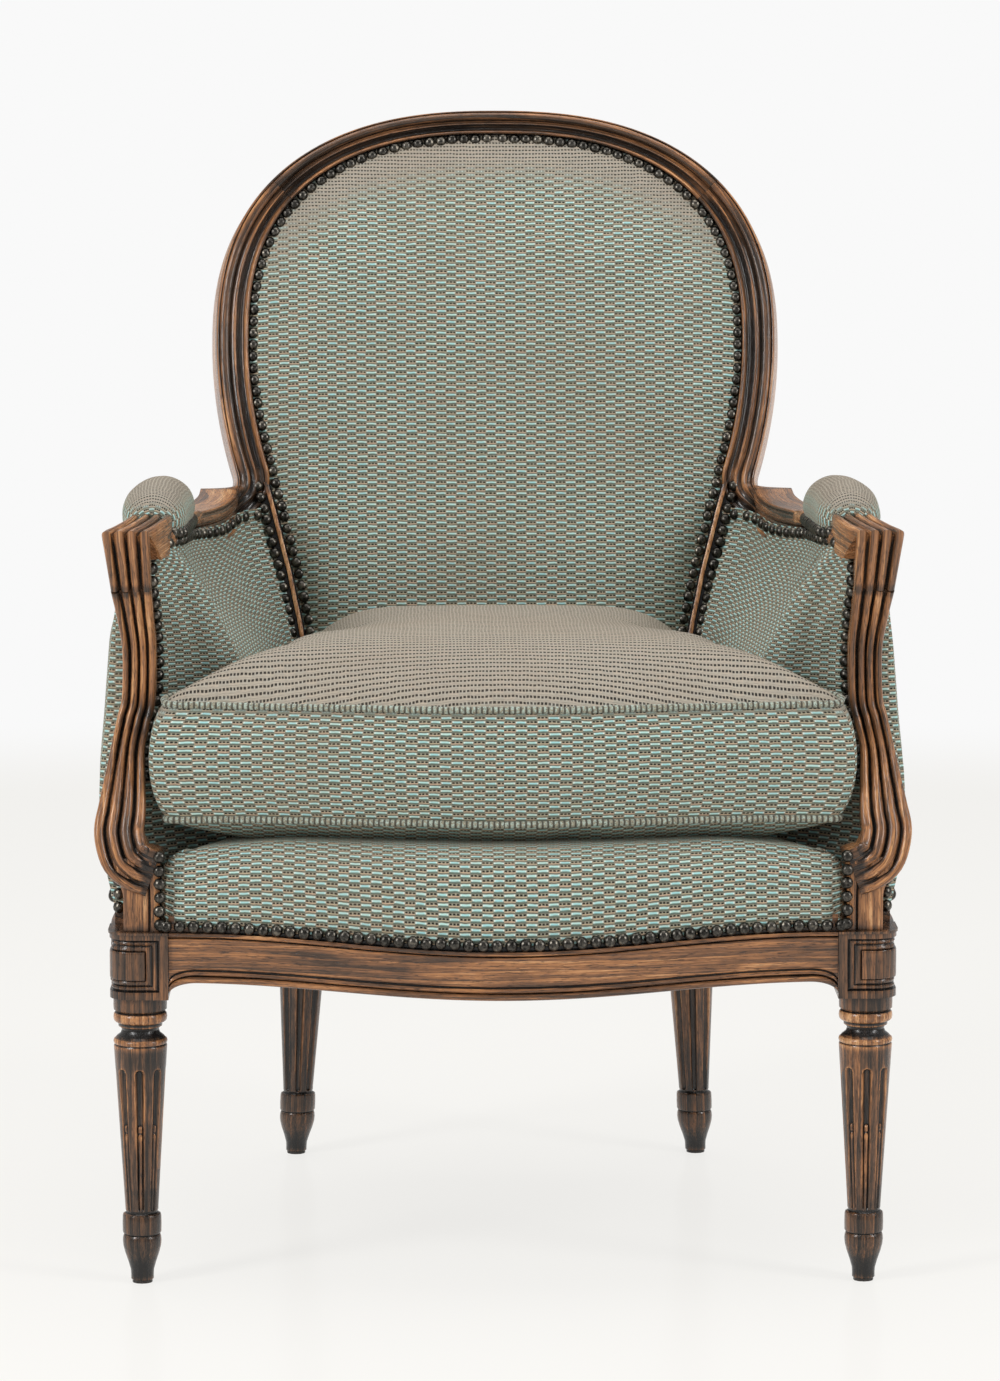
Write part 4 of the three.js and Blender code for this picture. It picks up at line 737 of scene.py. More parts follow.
def make_nylon(name):
    s = Shader(name)
    fuzz = s.noise(s.position(), 500.0, 2.0)
    colour = s.ramp(fuzz, [(0.3, rgb(34, 30, 27)), (0.7, rgb(48, 43, 38))])
    return s.set(Base_Color=colour, Roughness=0.5, Normal=s.bump(fuzz, 0.0001, 0.3))


WOOD = make_wood("stained_beech")
WEAVE = make_weave("brick_weave")
PIPING = make_piping("brick_weave_piping")
NAIL_METAL = make_nail_metal("antiqued_nail")
JUTE = make_coarse_weave("jute_webbing", rgb(176, 150, 108), rgb(112, 88, 56), 3.0)
CAMBRIC = make_coarse_weave("black_cambric", rgb(40, 40, 42), rgb(16, 16, 18), 1.2)
STEEL = make_steel("spring_steel")
NYLON = make_nylon("glide_nylon")


def make_cover(name, build, node, material=WEAVE, body=CHAIR, **options):
    """A piece of cloth, smooth all over, in place of one node."""
    return make(name, build, material, body, (node,), sharp=SMOOTH_ALL, wear=False, **options)


# The lines of the frame

Station = namedtuple("Station", "at across out width relief depth")


def fine(section, parts=3):
    """A section drawn with a smooth line through its points."""
    return catmull(section, np.linspace(0, 1, (len(section) - 1) * parts + 1))


def moulding(build, section, stations, offset=0.0):
    """Sweeps a section, in shares of width and relief, along stations, and closes it with a flat back."""
    section = np.asarray(section, dtype=float)
    back = [(section[-1][0], -1), (section[0][0], -1)]
    rows = []
    grain = []
    run = run_length([s.at for s in stations])
    for k, s in enumerate(stations):
        ring = [s.at + s.across * (u - 0.5) * s.width + s.out * h * s.relief for u, h in section]
        ring += [s.at + s.across * (u - 0.5) * s.width - s.out * s.depth for u, _ in back]
        rows.append(ring)
        across = [((u - 0.5) * s.width, h * s.relief) for u, h in section]
        across += [((u - 0.5) * s.width, -s.depth) for u, _ in back]
        grain.append([(u + offset, h, run[k] + offset) for u, h in across])
    build.solid(rows, grain)


def on_back(x, s, forward):
    """A place on the hollow, reclined back."""
    x = np.asarray(x, dtype=float)
    ahead = forward - HOLLOW * (1 - (x / BACK_HALF) ** 2)
    y = BACK_Y + s * math.sin(RECLINE) - ahead * math.cos(RECLINE)
    z = BACK_Z + s * math.cos(RECLINE) + ahead * math.sin(RECLINE)
    return np.stack(np.broadcast_arrays(x, y, z), axis=-1)


def back_facing(x, s):
    return on_back(x, s, 1.0) - on_back(x, s, 0.0)


def arch_place(angle):
    power = 2 / ARCH_POWER
    return v(
        BACK_HALF * math.sin(max(angle, 0)) ** power,
        ARCH_WIDEST + ARCH_RISE * max(math.cos(angle), 0) ** power,
    )


def side_place(s):
    return v(BACK_HALF - (ARCH_WIDEST - s) ** 2 / (2 * SIDE_RADIUS), s)


def moulding_width(s):
    rise = min(max((s - ARCH_WIDEST) / ARCH_RISE, 0), 1)
    return lerp(SIDE_MOULDING, TOP_MOULDING, rise**2)


def arch_stations(places):
    """Stations of the arch's moulding over places on its outside, from the crown down its right side."""
    made = []
    for i, p in enumerate(places):
        before, after = places[max(i - 1, 0)], places[min(i + 1, len(places) - 1)]
        normal = unit(v(before[1] - after[1], after[0] - before[0]))
        if i == 0 and abs(p[0]) < 1e-6:
            normal = v(0, 1)
        width = moulding_width(p[1])
        inset = p - normal * width / 2
        across = unit(on_back(p[0], p[1], 0) - on_back(p[0] - normal[0], p[1] - normal[1], 0))
        facing = back_facing(p[0], p[1])
        out = unit(facing - across * facing.dot(across))
        made.append(Station(on_back(inset[0], inset[1], 0), across, out, width, BACK_RELIEF, BACK_DEPTH))
    return made


CROWN_ANGLES = [CREST_ANGLE * t for t in np.linspace(0, 1, 33) ** 1.2]
SHOULDER_ANGLES = [lerp(CREST_ANGLE, math.pi / 2, t) for t in np.linspace(0, 1, 25)[1:]]
FLANK = [lerp(ARCH_WIDEST, TURN_S, t) for t in np.linspace(0, 1, 13)[1:]]
ARCH_RUN = [arch_place(a) for a in CROWN_ANGLES + SHOULDER_ANGLES] + [side_place(s) for s in FLANK]
ARCH_HALF = arch_stations(ARCH_RUN)
CREST_COUNT = len(CROWN_ANGLES)


def run_of(station):
    return -np.cross(station.out, station.across)


def shifted(station, distance):
    return station._replace(at=station.at + run_of(station) * distance)


# The arm: shares of the way forwards, of the way outwards and of the rise.
ARM_LINE_SHARES = [
    (0, 0, 0.6), (0.08, 0.03, 0.25), (0.18, 0.19, 0), (0.29, 0.42, 0.05), (0.39, 0.6, 0.2),
    (0.52, 0.67, 0.5), (0.68, 0.69, 0.8), (0.863, 0.68, 1), (0.95, 0.84, 1), (1, 1, 1),
]


def arm_places(t):
    share = catmull(ARM_LINE_SHARES, t)
    return np.stack(
        [
            lerp(ARM_REAR[0], ARM_FRONT[0], share[:, 1]),
            lerp(ARM_REAR[1], ARM_FRONT[1], share[:, 0]),
            ARM_LOW + ARM_RISE * share[:, 2],
        ],
        axis=1,
    )


ARM_TABLE_T = np.linspace(0, 1, 401)
ARM_TABLE = arm_places(ARM_TABLE_T)
NEARBY = 0.01


def arm_place(t):
    return arm_places([t])[0]


def arm_at(y):
    """How far along the arm, as a share, a distance from the front lies."""
    return np.interp(-np.asarray(y, dtype=float), -ARM_TABLE[:, 1], ARM_TABLE_T)


def arm_station(t):
    run = unit(arm_place(min(t + NEARBY, 1)) - arm_place(max(t - NEARBY, 0)))
    up = v(0, 0, 1)
    across = unit(up - run * up.dot(run))
    out = np.cross(run, across)
    return Station(arm_place(t) + out * ARM_THICK / 2, across, out, ARM_HEIGHT, ARM_RELIEF, ARM_THICK)


def slerp_basis(a, b, t):
    """Turns one station's across and out into another's."""
    first = Matrix((a.across, a.out, np.cross(a.across, a.out))).transposed().to_quaternion()
    last = Matrix((b.across, b.out, np.cross(b.across, b.out))).transposed().to_quaternion()
    turned = first.slerp(last, t).to_matrix()
    return v(*turned.col[0]), v(*turned.col[1])


TURN_REACH_SHARE = 0.55
TURN_COUNT = 28


def turn_stations():
    """The mouldings turn from the arch's side into the arm."""
    start, end = ARCH_HALF[-1], arm_station(0)
    reach = np.linalg.norm(end.at - start.at) * TURN_REACH_SHARE
    points = [start.at, start.at + run_of(start) * reach, end.at - run_of(end) * reach, end.at]
    made = []
    for t in np.linspace(0, 1, TURN_COUNT)[1:-1]:
        weights = [(1 - t) ** 3, 3 * t * (1 - t) ** 2, 3 * t * t * (1 - t), t**3]
        at = sum(w * p for w, p in zip(weights, points))
        across, out = slerp_basis(start, end, float(smooth(t, 0, 1)))
        sizes = (lerp(a, b, t) for a, b in zip(start[3:], end[3:]))
        made.append(Station(at, across, out, *sizes))
    return made


# Section of the mouldings on the arch and the arm, from the nail rebate to the outer edge.
ARCH_SECTION = [
    (-FLANGE_SHARE, 0), (-0.15, 0), (-0.012, 0), (-0.004, 0.3), (0.01, 0.72), (0.06, 0.86), (0.10, 0.8),
    (0.135, 0.58), (0.165, 0.3), (0.22, 0.2), (0.30, 0.35), (0.38, 0.62), (0.41, 0.74), (0.44, 0.72),
    (0.47, 0.58), (0.52, 0.48), (0.56, 0.38), (0.583, 0.32), (0.60, 0.6), (0.64, 0.86), (0.70, 0.98),
    (0.76, 1.0), (0.83, 0.93), (0.885, 0.76), (0.903, 0.58), (0.918, 0.56), (0.928, 0.72), (0.955, 0.76),
    (0.985, 0.6), (1.0, 0.3),
]
ARCH_FINE = np.clip(fine(ARCH_SECTION, 3), (-FLANGE_SHARE, 0), (1, 1.02))

# Section of the post and of the arm's head: four beads between three grooves.
POST_SECTION = [
    (0.0, 0.0), (0.01, 0.45), (0.05, 0.85), (0.1, 0.95), (0.16, 0.85), (0.2, 0.5), (0.225, 0.0),
    (0.245, -0.15), (0.265, 0.0), (0.29, 0.5), (0.33, 0.9), (0.38, 1.0), (0.43, 0.9), (0.47, 0.5),
    (0.49, 0.0), (0.505, -0.15), (0.52, 0.0), (0.545, 0.5), (0.58, 0.9), (0.63, 1.0), (0.69, 0.9),
    (0.73, 0.5), (0.755, 0.0), (0.775, -0.15), (0.795, 0.0), (0.82, 0.5), (0.86, 0.85), (0.9, 0.95),
    (0.95, 0.85), (0.99, 0.45), (1.0, 0.0),
]
POST_FINE = fine(POST_SECTION, 2)

# The post: shares of its height, of its swing, of its sweep and of its width, from the curl upwards.
POST_SHARES = [
    (0.172, -0.9, 0.07, 1.15), (0.193, -0.175, 0.1, 1.2), (0.235, 0.35, 0.16, 1.24),
    (0.295, 0.525, 0.25, 1.24), (0.354, 0.425, 0.36, 1.18), (0.432, 0.325, 0.54, 1.03),
    (0.523, 0.21, 0.75, 0.85), (0.6, 0.0, 0.93, 0.84), (0.67, -0.205, 1.0, 0.84),
    (0.793, -0.25, 0.99, 0.84), (0.916, -0.125, 0.77, 0.91), (1.0, 0.0, 0.58, 1.0),
]


POST_COUNT = 90


def post_points():
    """Middles of the post's face and its widths, spaced along its S."""
    shares = catmull(POST_SHARES, np.linspace(0, 1, 400))
    points = np.stack(
        [
            POST_X + shares[:, 1] * POST_SWING,
            FRONT_FACE + shares[:, 2] * POST_SWEEP,
            BLOCK_TOP + shares[:, 0] * POST_HEIGHT,
            shares[:, 3] * POST_WIDTH,
        ],
        axis=1,
    )
    run = run_length(points[:, :3])
    return sampled(points, run, np.linspace(0, run[-1], POST_COUNT))


POST_LINE = post_points()


def post_at(z):
    """The post at a height: x of its middle, y of its face, and its width."""
    line = POST_LINE[8:]
    return tuple(np.interp(z, line[:, 2], line[:, k]) for k in (0, 1, 3))


def faced_stations(points, widths, relief, depth):
    """Stations of a moulded face that looks forwards."""
    made = []
    for i, p in enumerate(points):
        run = unit(points[min(i + 1, len(points) - 1)] - points[max(i - 1, 0)])
        ahead = v(0, -1, 0)
        out = unit(ahead - run * ahead.dot(run))
        made.append(Station(p, -np.cross(out, run), out, widths[i], relief, depth))
    return made


# Up the stile: shares of its height, of its lean outwards, and of how far its foot is set back.
STILE_SHARES = [
    (0, 0, 1), (0.12, 0, 0.2), (0.3, 0, 0), (0.57, 0, 0), (0.62, 0.08, 0), (0.69, 0.23, 0),
    (0.755, 0.36, 0), (0.82, 0.53, 0), (0.92, 0.78, 0), (1, 1, 0),
]


def stile_x(s):
    """Middle of the stile at a place up the back."""
    up = np.clip((np.asarray(s, dtype=float) - STILE_LOW) / (STILE_HIGH - STILE_LOW), 0, 1)
    return lerp(STILE_WAIST, STILE_TOP, at_share(STILE_SHARES, up)[0])


def front_bow(x):
    return RAIL_BOW * (0.5 + 0.5 * np.cos(np.pi * np.asarray(x, dtype=float) / RAIL_BOW_SPAN))


SIDE_FRONT = v(LEG_X + BLOCK / 2, BLOCK / 2 + GAP)
SIDE_REAR = v(REAR_X + REAR_BLOCK / 2, REAR_Y - REAR_BLOCK / 2 - GAP)
SIDE_BEZIER = [
    SIDE_FRONT,
    SIDE_FRONT + v(8, 165),
    SIDE_REAR + v(72, -87),
    SIDE_REAR,
]


def side_points(count):
    t = np.linspace(0, 1, count)[:, None]
    a, b, c, d = SIDE_BEZIER
    return a * (1 - t) ** 3 + 3 * b * t * (1 - t) ** 2 + 3 * c * t * t * (1 - t) + d * t**3


SIDE_TABLE = side_points(200)


def side_face(y):
    """Outer face of the side rail at a distance behind the front legs."""
    return np.interp(y, SIDE_TABLE[:, 1], SIDE_TABLE[:, 0])


# The wooden frame

# Turned outline of the leg, as height and radius, up to the shaft and from the shaft's top.
FOOT_OUTLINE = [
    (2.7, 9.0), (3.2, 9.6), (7, 9.6), (11.3, 9.9), (18, 11.8), (26, 14.5), (32, 16.0), (36.4, 16.4),
    (39.6, 16.1), (41.6, 15.4), (42.3, 14.7), (42.8, 14.7), (43.2, 16.0), (44.2, 16.4), (51, 16.5),
    (58, 16.3), (59.4, 15.8), (59.9, 14.6), (61.2, 13.4), (62.4, 13.6),
]
NECK_OUTLINE = [
    (204.6, 22.4), (205.4, 22.0), (206.0, 21.6), (206.6, 22.2), (208.4, 22.8), (210.2, 22.3), (211.2, 21.0),
    (212.6, 19.9), (215, 16.8), (218, 15.6), (220.4, 16.6), (221.2, 18.4), (223.6, 18.6), (224.3, 19.6),
    (225.2, 21.2), (226.4, 22.2), (229.2, 22.7), (231.8, 22.3), (233, 21.4), (233.6, 20.4), (234.4, 21.0),
    (235.7, 22.4), (240, 22.6), (246.9, 22.5),
]
SHAFT_LOW, SHAFT_HIGH = 62.4, 204.6
FLUTE_HALF = 3.6
FLUTE_TOP = 186.0
FLUTE_FOOT = 63.0
ROD_TOP = 138.0
ROD_HALF = 2.9
ROD_SET = 0.5
FLUTE_COLUMNS = 22
FLUTE_RADIUS = 21.5
FLUTE_DEPTH_SHARE = 0.95
ROD_NECK_SHARE = 0.4
ROD_NECK_DROP = 5.0
SHAFT_RADII = (13.9, 22.5)
# Rows of points up the shaft, as spans and counts: close together where flutes and rods end.
SHAFT_ROWS = [(63.4, 70, 8), (72, 128, 15), (130, 139.4, 15), (141, 180, 11), (181, 187, 11), (189, 204.2, 5)]


def flute_relief(off, z, radius, rodded):
    """How far the shaft's skin stands out at a distance from the middle of a flute."""
    grown = radius / FLUTE_RADIUS
    half = FLUTE_HALF * grown
    top = FLUTE_TOP - half
    bottom = FLUTE_FOOT + half
    past_end = np.clip(z - top, 0, None) ** 2 + np.clip(bottom - z, 0, None) ** 2
    reach = np.sqrt(np.clip(half**2 - past_end, 0, None))
    relief = -np.sqrt(np.clip(reach**2 - off**2, 0, None)) * FLUTE_DEPTH_SHARE
    if rodded:
        rod = ROD_HALF * grown
        end = ROD_TOP - rod
        width = np.sqrt(np.clip(rod**2 - np.clip(z - end, 0, None) ** 2, 0, None))
        neck = 1 - ROD_NECK_SHARE * np.exp(-((z - end + ROD_NECK_DROP) ** 2))
        stands = np.sqrt(np.clip((width * neck) ** 2 - off**2, 0, None)) - rod - ROD_SET
        inside = (np.abs(off) < width * neck) & (z < ROD_TOP)
        relief = np.where(inside, np.maximum(relief, stands), relief)
    return relief


def leg_skin(rodded):
    """The turned leg as rows of points about its own axis."""
    shaft = [SHAFT_LOW + 0.8, *(z for row in SHAFT_ROWS for z in np.linspace(*row))]
    taper = [(z, lerp(*SHAFT_RADII, (z - SHAFT_LOW) / (SHAFT_HIGH - SHAFT_LOW))) for z in shaft]
    columns = FLUTES * FLUTE_COLUMNS
    angle = (np.arange(columns) + 0.5) / columns * 2 * np.pi
    pitch = 2 * np.pi / FLUTES
    from_flute = (angle / pitch - np.round(angle / pitch)) * pitch
    rows = []
    for z, r in FOOT_OUTLINE + taper + NECK_OUTLINE:
        radius = r + np.zeros(columns)
        if SHAFT_LOW < z < SHAFT_HIGH:
            radius = r + flute_relief(from_flute * r, z, r, rodded)
        turn = angle - np.pi / 2
        rows.append(np.stack([radius * np.cos(turn), radius * np.sin(turn), np.full(columns, z)], axis=1))
    return np.array(rows)


# Depth of the block's carved panel by distance from its edge.
PANEL_DEPTHS = [
    (0, 0), (5.9, 0), (6.3, 0.1), (6.8, 2.6), (7.5, 2.4), (8.6, 1.5), (9.8, 1.4), (10.8, 2.2), (11.2, 3.2),
    (11.8, 3.0), (13, 1.8), (14.3, 1.4), (15.6, 1.9), (16, 2.6), (16.5, 0.4), (17.4, 0.1), (19, 0), (28, 0),
]
PANEL_SIDE_STRETCH = 1.2
PANEL_BORDER = 20.0
PANEL_MIDDLE = 28.5
PANEL_COLUMNS = 34
LEDGE_HEIGHT = 2.0
LEDGE_PROUD = 1.2


def block_shell(build):
    """The front block: a carved panel wraps round its outer corner between a frame's strips."""
    half = BLOCK / 2
    flat = BLOCK - BLOCK_ROUND
    bend = BLOCK_ROUND * math.pi / 2
    around = 2 * flat + bend
    stops, depths = np.array(PANEL_DEPTHS).T
    up = np.concatenate([LEG_HEIGHT + stops, (BLOCK_TOP - np.maximum(stops, LEDGE_HEIGHT / 2))[::-1]])
    up = np.unique(np.round(np.concatenate([up, [LEG_HEIGHT + PANEL_MIDDLE]]), 4))
    edge = stops[stops < PANEL_BORDER] * PANEL_SIDE_STRETCH
    middle = np.linspace(edge[-1] + 1.5, around - edge[-1] - 1.5, PANEL_COLUMNS)
    side = np.unique(np.round(np.concatenate([edge, middle, around - edge]), 4))
    rows = []
    grain = []
    for z in up:
        row = []
        fibres = []
        for u in side:
            if u < flat:
                place, normal = v(LEG_X - half + u, -half), v(0, -1)
            elif u < flat + bend:
                turn = (u - flat) / BLOCK_ROUND
                normal = v(math.sin(turn), -math.cos(turn))
                place = v(LEG_X + half - BLOCK_ROUND, -half + BLOCK_ROUND) + normal * BLOCK_ROUND
            else:
                place, normal = v(LEG_X + half, -half + BLOCK_ROUND + u - flat - bend), v(1, 0)
            inside = min(min(u, around - u) / PANEL_SIDE_STRETCH, min(z - LEG_HEIGHT, BLOCK_TOP - z))
            depth = np.interp(inside, stops, depths)
            row.append((*(place - normal * depth), z))
            fibres.append((u, depth, z))
        inner = [(LEG_X + half, half, z), (LEG_X - half, half, z), (LEG_X - half, -half, z)]
        rows.append(row + inner)
        grain.append(fibres + [(around, 0, z), (around + BLOCK, 0, z), (0, 0, z)])
    build.solid(rows, grain)


def ledge_shell(build, x, low, high, proud):
    """A thin ledge round the top of the front block."""
    half = BLOCK / 2
    corner = [math.pi / 2 * t for t in np.linspace(0, 1, 9)]
    outline = [(x - half, -half - proud)]
    round_x, round_y = x + half - BLOCK_ROUND, -half + BLOCK_ROUND
    reach = BLOCK_ROUND + proud
    outline += [(round_x + math.sin(a) * reach, round_y - math.cos(a) * reach) for a in corner]
    outline += [(x + half + proud, half), (x - half, half)]
    rows = [[(px, py, z) for px, py in outline] for z in (low, lerp(low, high, 0.5), high)]
    build.solid(rows)


def front_leg():
    build = Build()
    skin = leg_skin(True) + v(LEG_X, 0, 0)
    build.solid(skin, skin + GRAIN_SHIFTS["leg"])
    block_shell(build)
    ledge_shell(build, LEG_X, BLOCK_TOP - LEDGE_HEIGHT, BLOCK_TOP, LEDGE_PROUD)
    return build


def box_shell(build, low, high, chamfer):
    """A box with chamfered upright edges."""
    (x0, y0, z0), (x1, y1, z1) = low, high
    c = chamfer
    outline = [(x0 + c, y0), (x1 - c, y0), (x1, y0 + c), (x1, y1 - c)]
    outline += [(x1 - c, y1), (x0 + c, y1), (x0, y1 - c), (x0, y0 + c)]
    mx, my = (x0 + x1) / 2, (y0 + y1) / 2
    levels = [(z0, 0.8), (z0 + 0.8, 0), *((lerp(z0, z1, t), 0) for t in (0.25, 0.5, 0.75))]
    levels += [(z1 - 0.5, 0), (z1, 0.5)]
    rows = [
        [(px - np.sign(px - mx) * inset, py - np.sign(py - my) * inset, z) for px, py in outline]
        for z, inset in levels
    ]
    build.solid(rows)


# The stile's section: shares of half its width, and of its bead's rise.
STILE_SECTION = [
    (-1, -0.3), (-0.98, 0), (-0.2, 0), (-0.18, 0.5), (-0.14, 0.9), (-0.05, 1), (0.05, 1), (0.14, 0.9),
    (0.18, 0.5), (0.2, 0), (0.98, 0), (1, -0.3),
]
BLOCK_CHAMFER = 1.5
STILE_ROWS = 48
# How far each piece's grain is shifted, so that no two show the same figure.
GRAIN_SHIFTS = {"leg": v(40, 0, 13), "rear_leg": v(300, 0, 57), "stile": v(500, 0, 0)}
GRAIN_OFFSETS = {"side": 37.0, "crest": 11.0, "arm": 71.0, "head": 23.0}


def rear_post():
    build = Build()
    skin = leg_skin(False)
    up = LEG_HEIGHT - skin[..., 2]
    slanted = skin.copy()
    slanted[..., 0] += REAR_X + up * REAR_SPLAY / LEG_HEIGHT
    slanted[..., 1] += REAR_Y + up * REAR_RAKE / LEG_HEIGHT
    build.solid(slanted, skin + GRAIN_SHIFTS["rear_leg"])
    half = REAR_BLOCK / 2
    low, high = (REAR_X - half, REAR_Y - half, LEG_HEIGHT - GAP), (REAR_X + half, REAR_Y + half, BLOCK_TOP)
    box_shell(build, low, high, BLOCK_CHAMFER)
    rows = []
    for s in np.linspace(STILE_LOW, STILE_HIGH, STILE_ROWS):
        x = stile_x(s)
        _, share = at_share(STILE_SHARES, (s - STILE_LOW) / (STILE_HIGH - STILE_LOW))
        ring = [(u, -share * STILE_SET + h * STILE_BEAD * (1 - share)) for u, h in STILE_SECTION]
        ring += [(u, -BACK_DEPTH) for u in (1, -1)]
        rows.append([on_back(x + u * STILE_WIDTH / 2, s, out) for u, out in ring])
    rows = np.array(rows)
    build.solid(rows, rows + GRAIN_SHIFTS["stile"])
    side = [shifted(ARCH_HALF[CREST_COUNT - 1], GAP / 2), *ARCH_HALF[CREST_COUNT:], *turn_stations()]
    side.append(shifted(arm_station(0), -GAP / 2))
    moulding(build, ARCH_FINE, side, GRAIN_OFFSETS["side"])
    return build


def crest_rail():
    build = Build()
    right = [*ARCH_HALF[: CREST_COUNT - 1], shifted(ARCH_HALF[CREST_COUNT - 1], -GAP / 2)]
    left = [s._replace(at=flip_x(s.at), across=flip_x(s.across), out=flip_x(s.out)) for s in right[1:]]
    moulding(build, ARCH_FINE, [*left[::-1], *right], GRAIN_OFFSETS["crest"])
    return build


# Section of the arm under its pad, in shares of half its width and of half its height.
CORE_SECTION = [
    (-0.66, -1), (-0.66, -1 - 2 * FLANGE_SHARE), (0.66, -1 - 2 * FLANGE_SHARE), (0.66, -1), (0.9, -0.92),
    (1, -0.7), (1.04, 0), (1, 0.6), (0.92, 0.82), (0.8, 0.9), (-0.8, 0.9), (-0.94, 0.84), (-1.02, 0.66),
    (-1.04, 0.42), (-1, 0.22), (-0.9, 0.13), (-0.8, 0.1), (-0.78, -0.1),
]
# Along the core: share of the arm, of the width, of the ear's rise and of the inner half that is kept.
CORE_SHARES = [
    (0.355, 0.9, 0.5, 1), (0.39, 0.93, 0.7, 1), (0.42, 0.96, 0.6, 1), (0.48, 1, 0.1, 1), (0.58, 1, 0, 1),
    (0.72, 0.96, 0, 1), (0.79, 0.86, 0, 1), (0.82, 0.84, 0, 0.3), (0.88, 0.78, 0, 0.1),
]
MOULDED_END = 0.42
ARM_ROWS = 40


def arm_core(build):
    rows = []
    for t in np.linspace(CORE_SHARES[0][0], CORE_SHARES[-1][0], ARM_ROWS):
        wide, rise, inner = at_share(CORE_SHARES, t)
        station = arm_station(t)
        middle = arm_place(t)
        rows.append(
            [
                middle
                - station.out * u * wide * ARM_CORE / 2 * (inner if u < 0 else 1)
                + station.across * (h * ARM_HEIGHT / 2 + (rise * ARM_EAR if h > 0 else 0))
                for u, h in CORE_SECTION
            ]
        )
    rows = np.array(rows)
    build.solid(rows, np.stack([rows[..., 0], rows[..., 2], rows[..., 1]], axis=-1))


HEAD_DIP = (0.4, 0.45)
HEAD_DEPTH = 26.0


def head_stations():
    """The head of the arm: a moulded top that turns over its front edge down to the post."""
    foot = v(*POST_LINE[-1][:3])
    top = HEAD_TOP - ARM_RELIEF
    corner = v(*ARM_FRONT, top)
    ahead = faced_stations([foot, corner], [POST_WIDTH, HEAD_WIDTH], POST_RELIEF, POST_DEPTH)[0].out
    up = v(0, 0, 1)
    mitre = (up + ahead) / (1 + up.dot(ahead))
    across = v(1, 0, 0)
    made = []
    for t in np.linspace(1, 0.06, 24):
        y = ARM_FRONT[1] + HEAD_RUN * t
        lift = HEAD_LIP * float(np.interp(t, (0, HEAD_DIP[0], 0.8, 1), (0, HEAD_DIP[1], 0.86, 1)))
        wide = lerp(HEAD_WIDTH, HEAD_REAR_WIDTH, t)
        at = v(arm_place(arm_at(y))[0], y, top + lift)
        made.append(Station(at, across, up, wide, ARM_RELIEF, min(HEAD_DEPTH, HEAD_RUN * t)))
    made.append(Station(corner, across, mitre, HEAD_WIDTH, ARM_RELIEF, 0.1))
    for t in np.linspace(0.08, 1, 14):
        wide = lerp(HEAD_WIDTH, POST_WIDTH, t)
        deep = min(POST_DEPTH, t * np.linalg.norm(foot - corner))
        made.append(Station(lerp(corner, foot, t), across, ahead, wide, ARM_RELIEF, deep))
    return made


def armrest():
    build = Build()
    stations = [shifted(arm_station(0), GAP / 2)]
    stations += [arm_station(t) for t in np.linspace(0.01, MOULDED_END, ARM_ROWS)]
    moulding(build, ARCH_FINE, stations, GRAIN_OFFSETS["arm"])
    arm_core(build)
    moulding(build, POST_FINE, head_stations(), GRAIN_OFFSETS["head"])
    return build


BASE_WIDTH = 30.0
BASE_TOP_WIDTH = 40.0
BASE_DEPTH = 46.0
BASE_HEIGHT = 62.0
BASE_SET = 3.0
# Front of the post's base from its inner edge: shares of its width, and how far it stands out.
BASE_SECTION = [
    (-0.5, 0), (-0.49, 1.4), (-0.46, 1.8), (-0.3, 1.8), (-0.27, 1.4), (-0.255, -1.2), (-0.23, -1.6),
    (-0.205, -1.2), (-0.19, 0), (-0.1, 0.2), (0.2, 0.2), (0.46, 0), (0.5, -1.2),
]
TIP_STAGGER = 14.0
TIP_RUN = 16.0


def arm_post():
    build = Build()
    points = POST_LINE[:, :3]
    stations = faced_stations(points, POST_LINE[:, 3], POST_RELIEF, POST_DEPTH)
    run = run_length(points)
    rows = []
    grain = []
    back = (1, 0)
    for k, s in enumerate(stations):
        ring = []
        fibres = []
        for u, h in POST_FINE:
            bead = min(int(u * 4), 3) / 3
            shown = float(smooth(run[k], TIP_STAGGER * (1 - bead) - 4, TIP_STAGGER * (1 - bead) + TIP_RUN))
            height = s.relief * (h if shown > 0.999 else max(h - (1 - shown), -0.1) if h > 0 else h * shown)
            ring.append(s.at + s.across * (u - 0.5) * s.width + s.out * height)
            fibres.append((u * s.width, height, run[k]))
        for u in back:
            ring.append(s.at + s.across * (u - 0.5) * s.width - s.out * s.depth)
            fibres.append((u * s.width, -s.depth, run[k]))
        rows.append(ring)
        grain.append(fibres)
    build.solid(np.array(rows), grain)
    base_x = POST_X + POST_SHARES[1][1] * POST_SWING - POST_RELIEF
    base_y = FRONT_FACE + BASE_SET + POST_RELIEF
    rows = []
    for up in np.linspace(0, 1, 14):
        z = BLOCK_TOP + GAP + up * (BASE_HEIGHT - GAP)
        width = lerp(BASE_WIDTH, BASE_TOP_WIDTH, max(2 * up - 1, 0))
        shift = POST_RELIEF * max(2 * up - 1, 0)
        ring = [(base_x + shift + u * width, base_y - h, z) for u, h in BASE_SECTION]
        rear = base_y + BASE_DEPTH - POST_RELIEF
        ring += [(base_x + shift + width / 2, rear, z), (base_x + shift - width / 2, rear, z)]
        rows.append(ring)
    build.solid(rows)
    return build


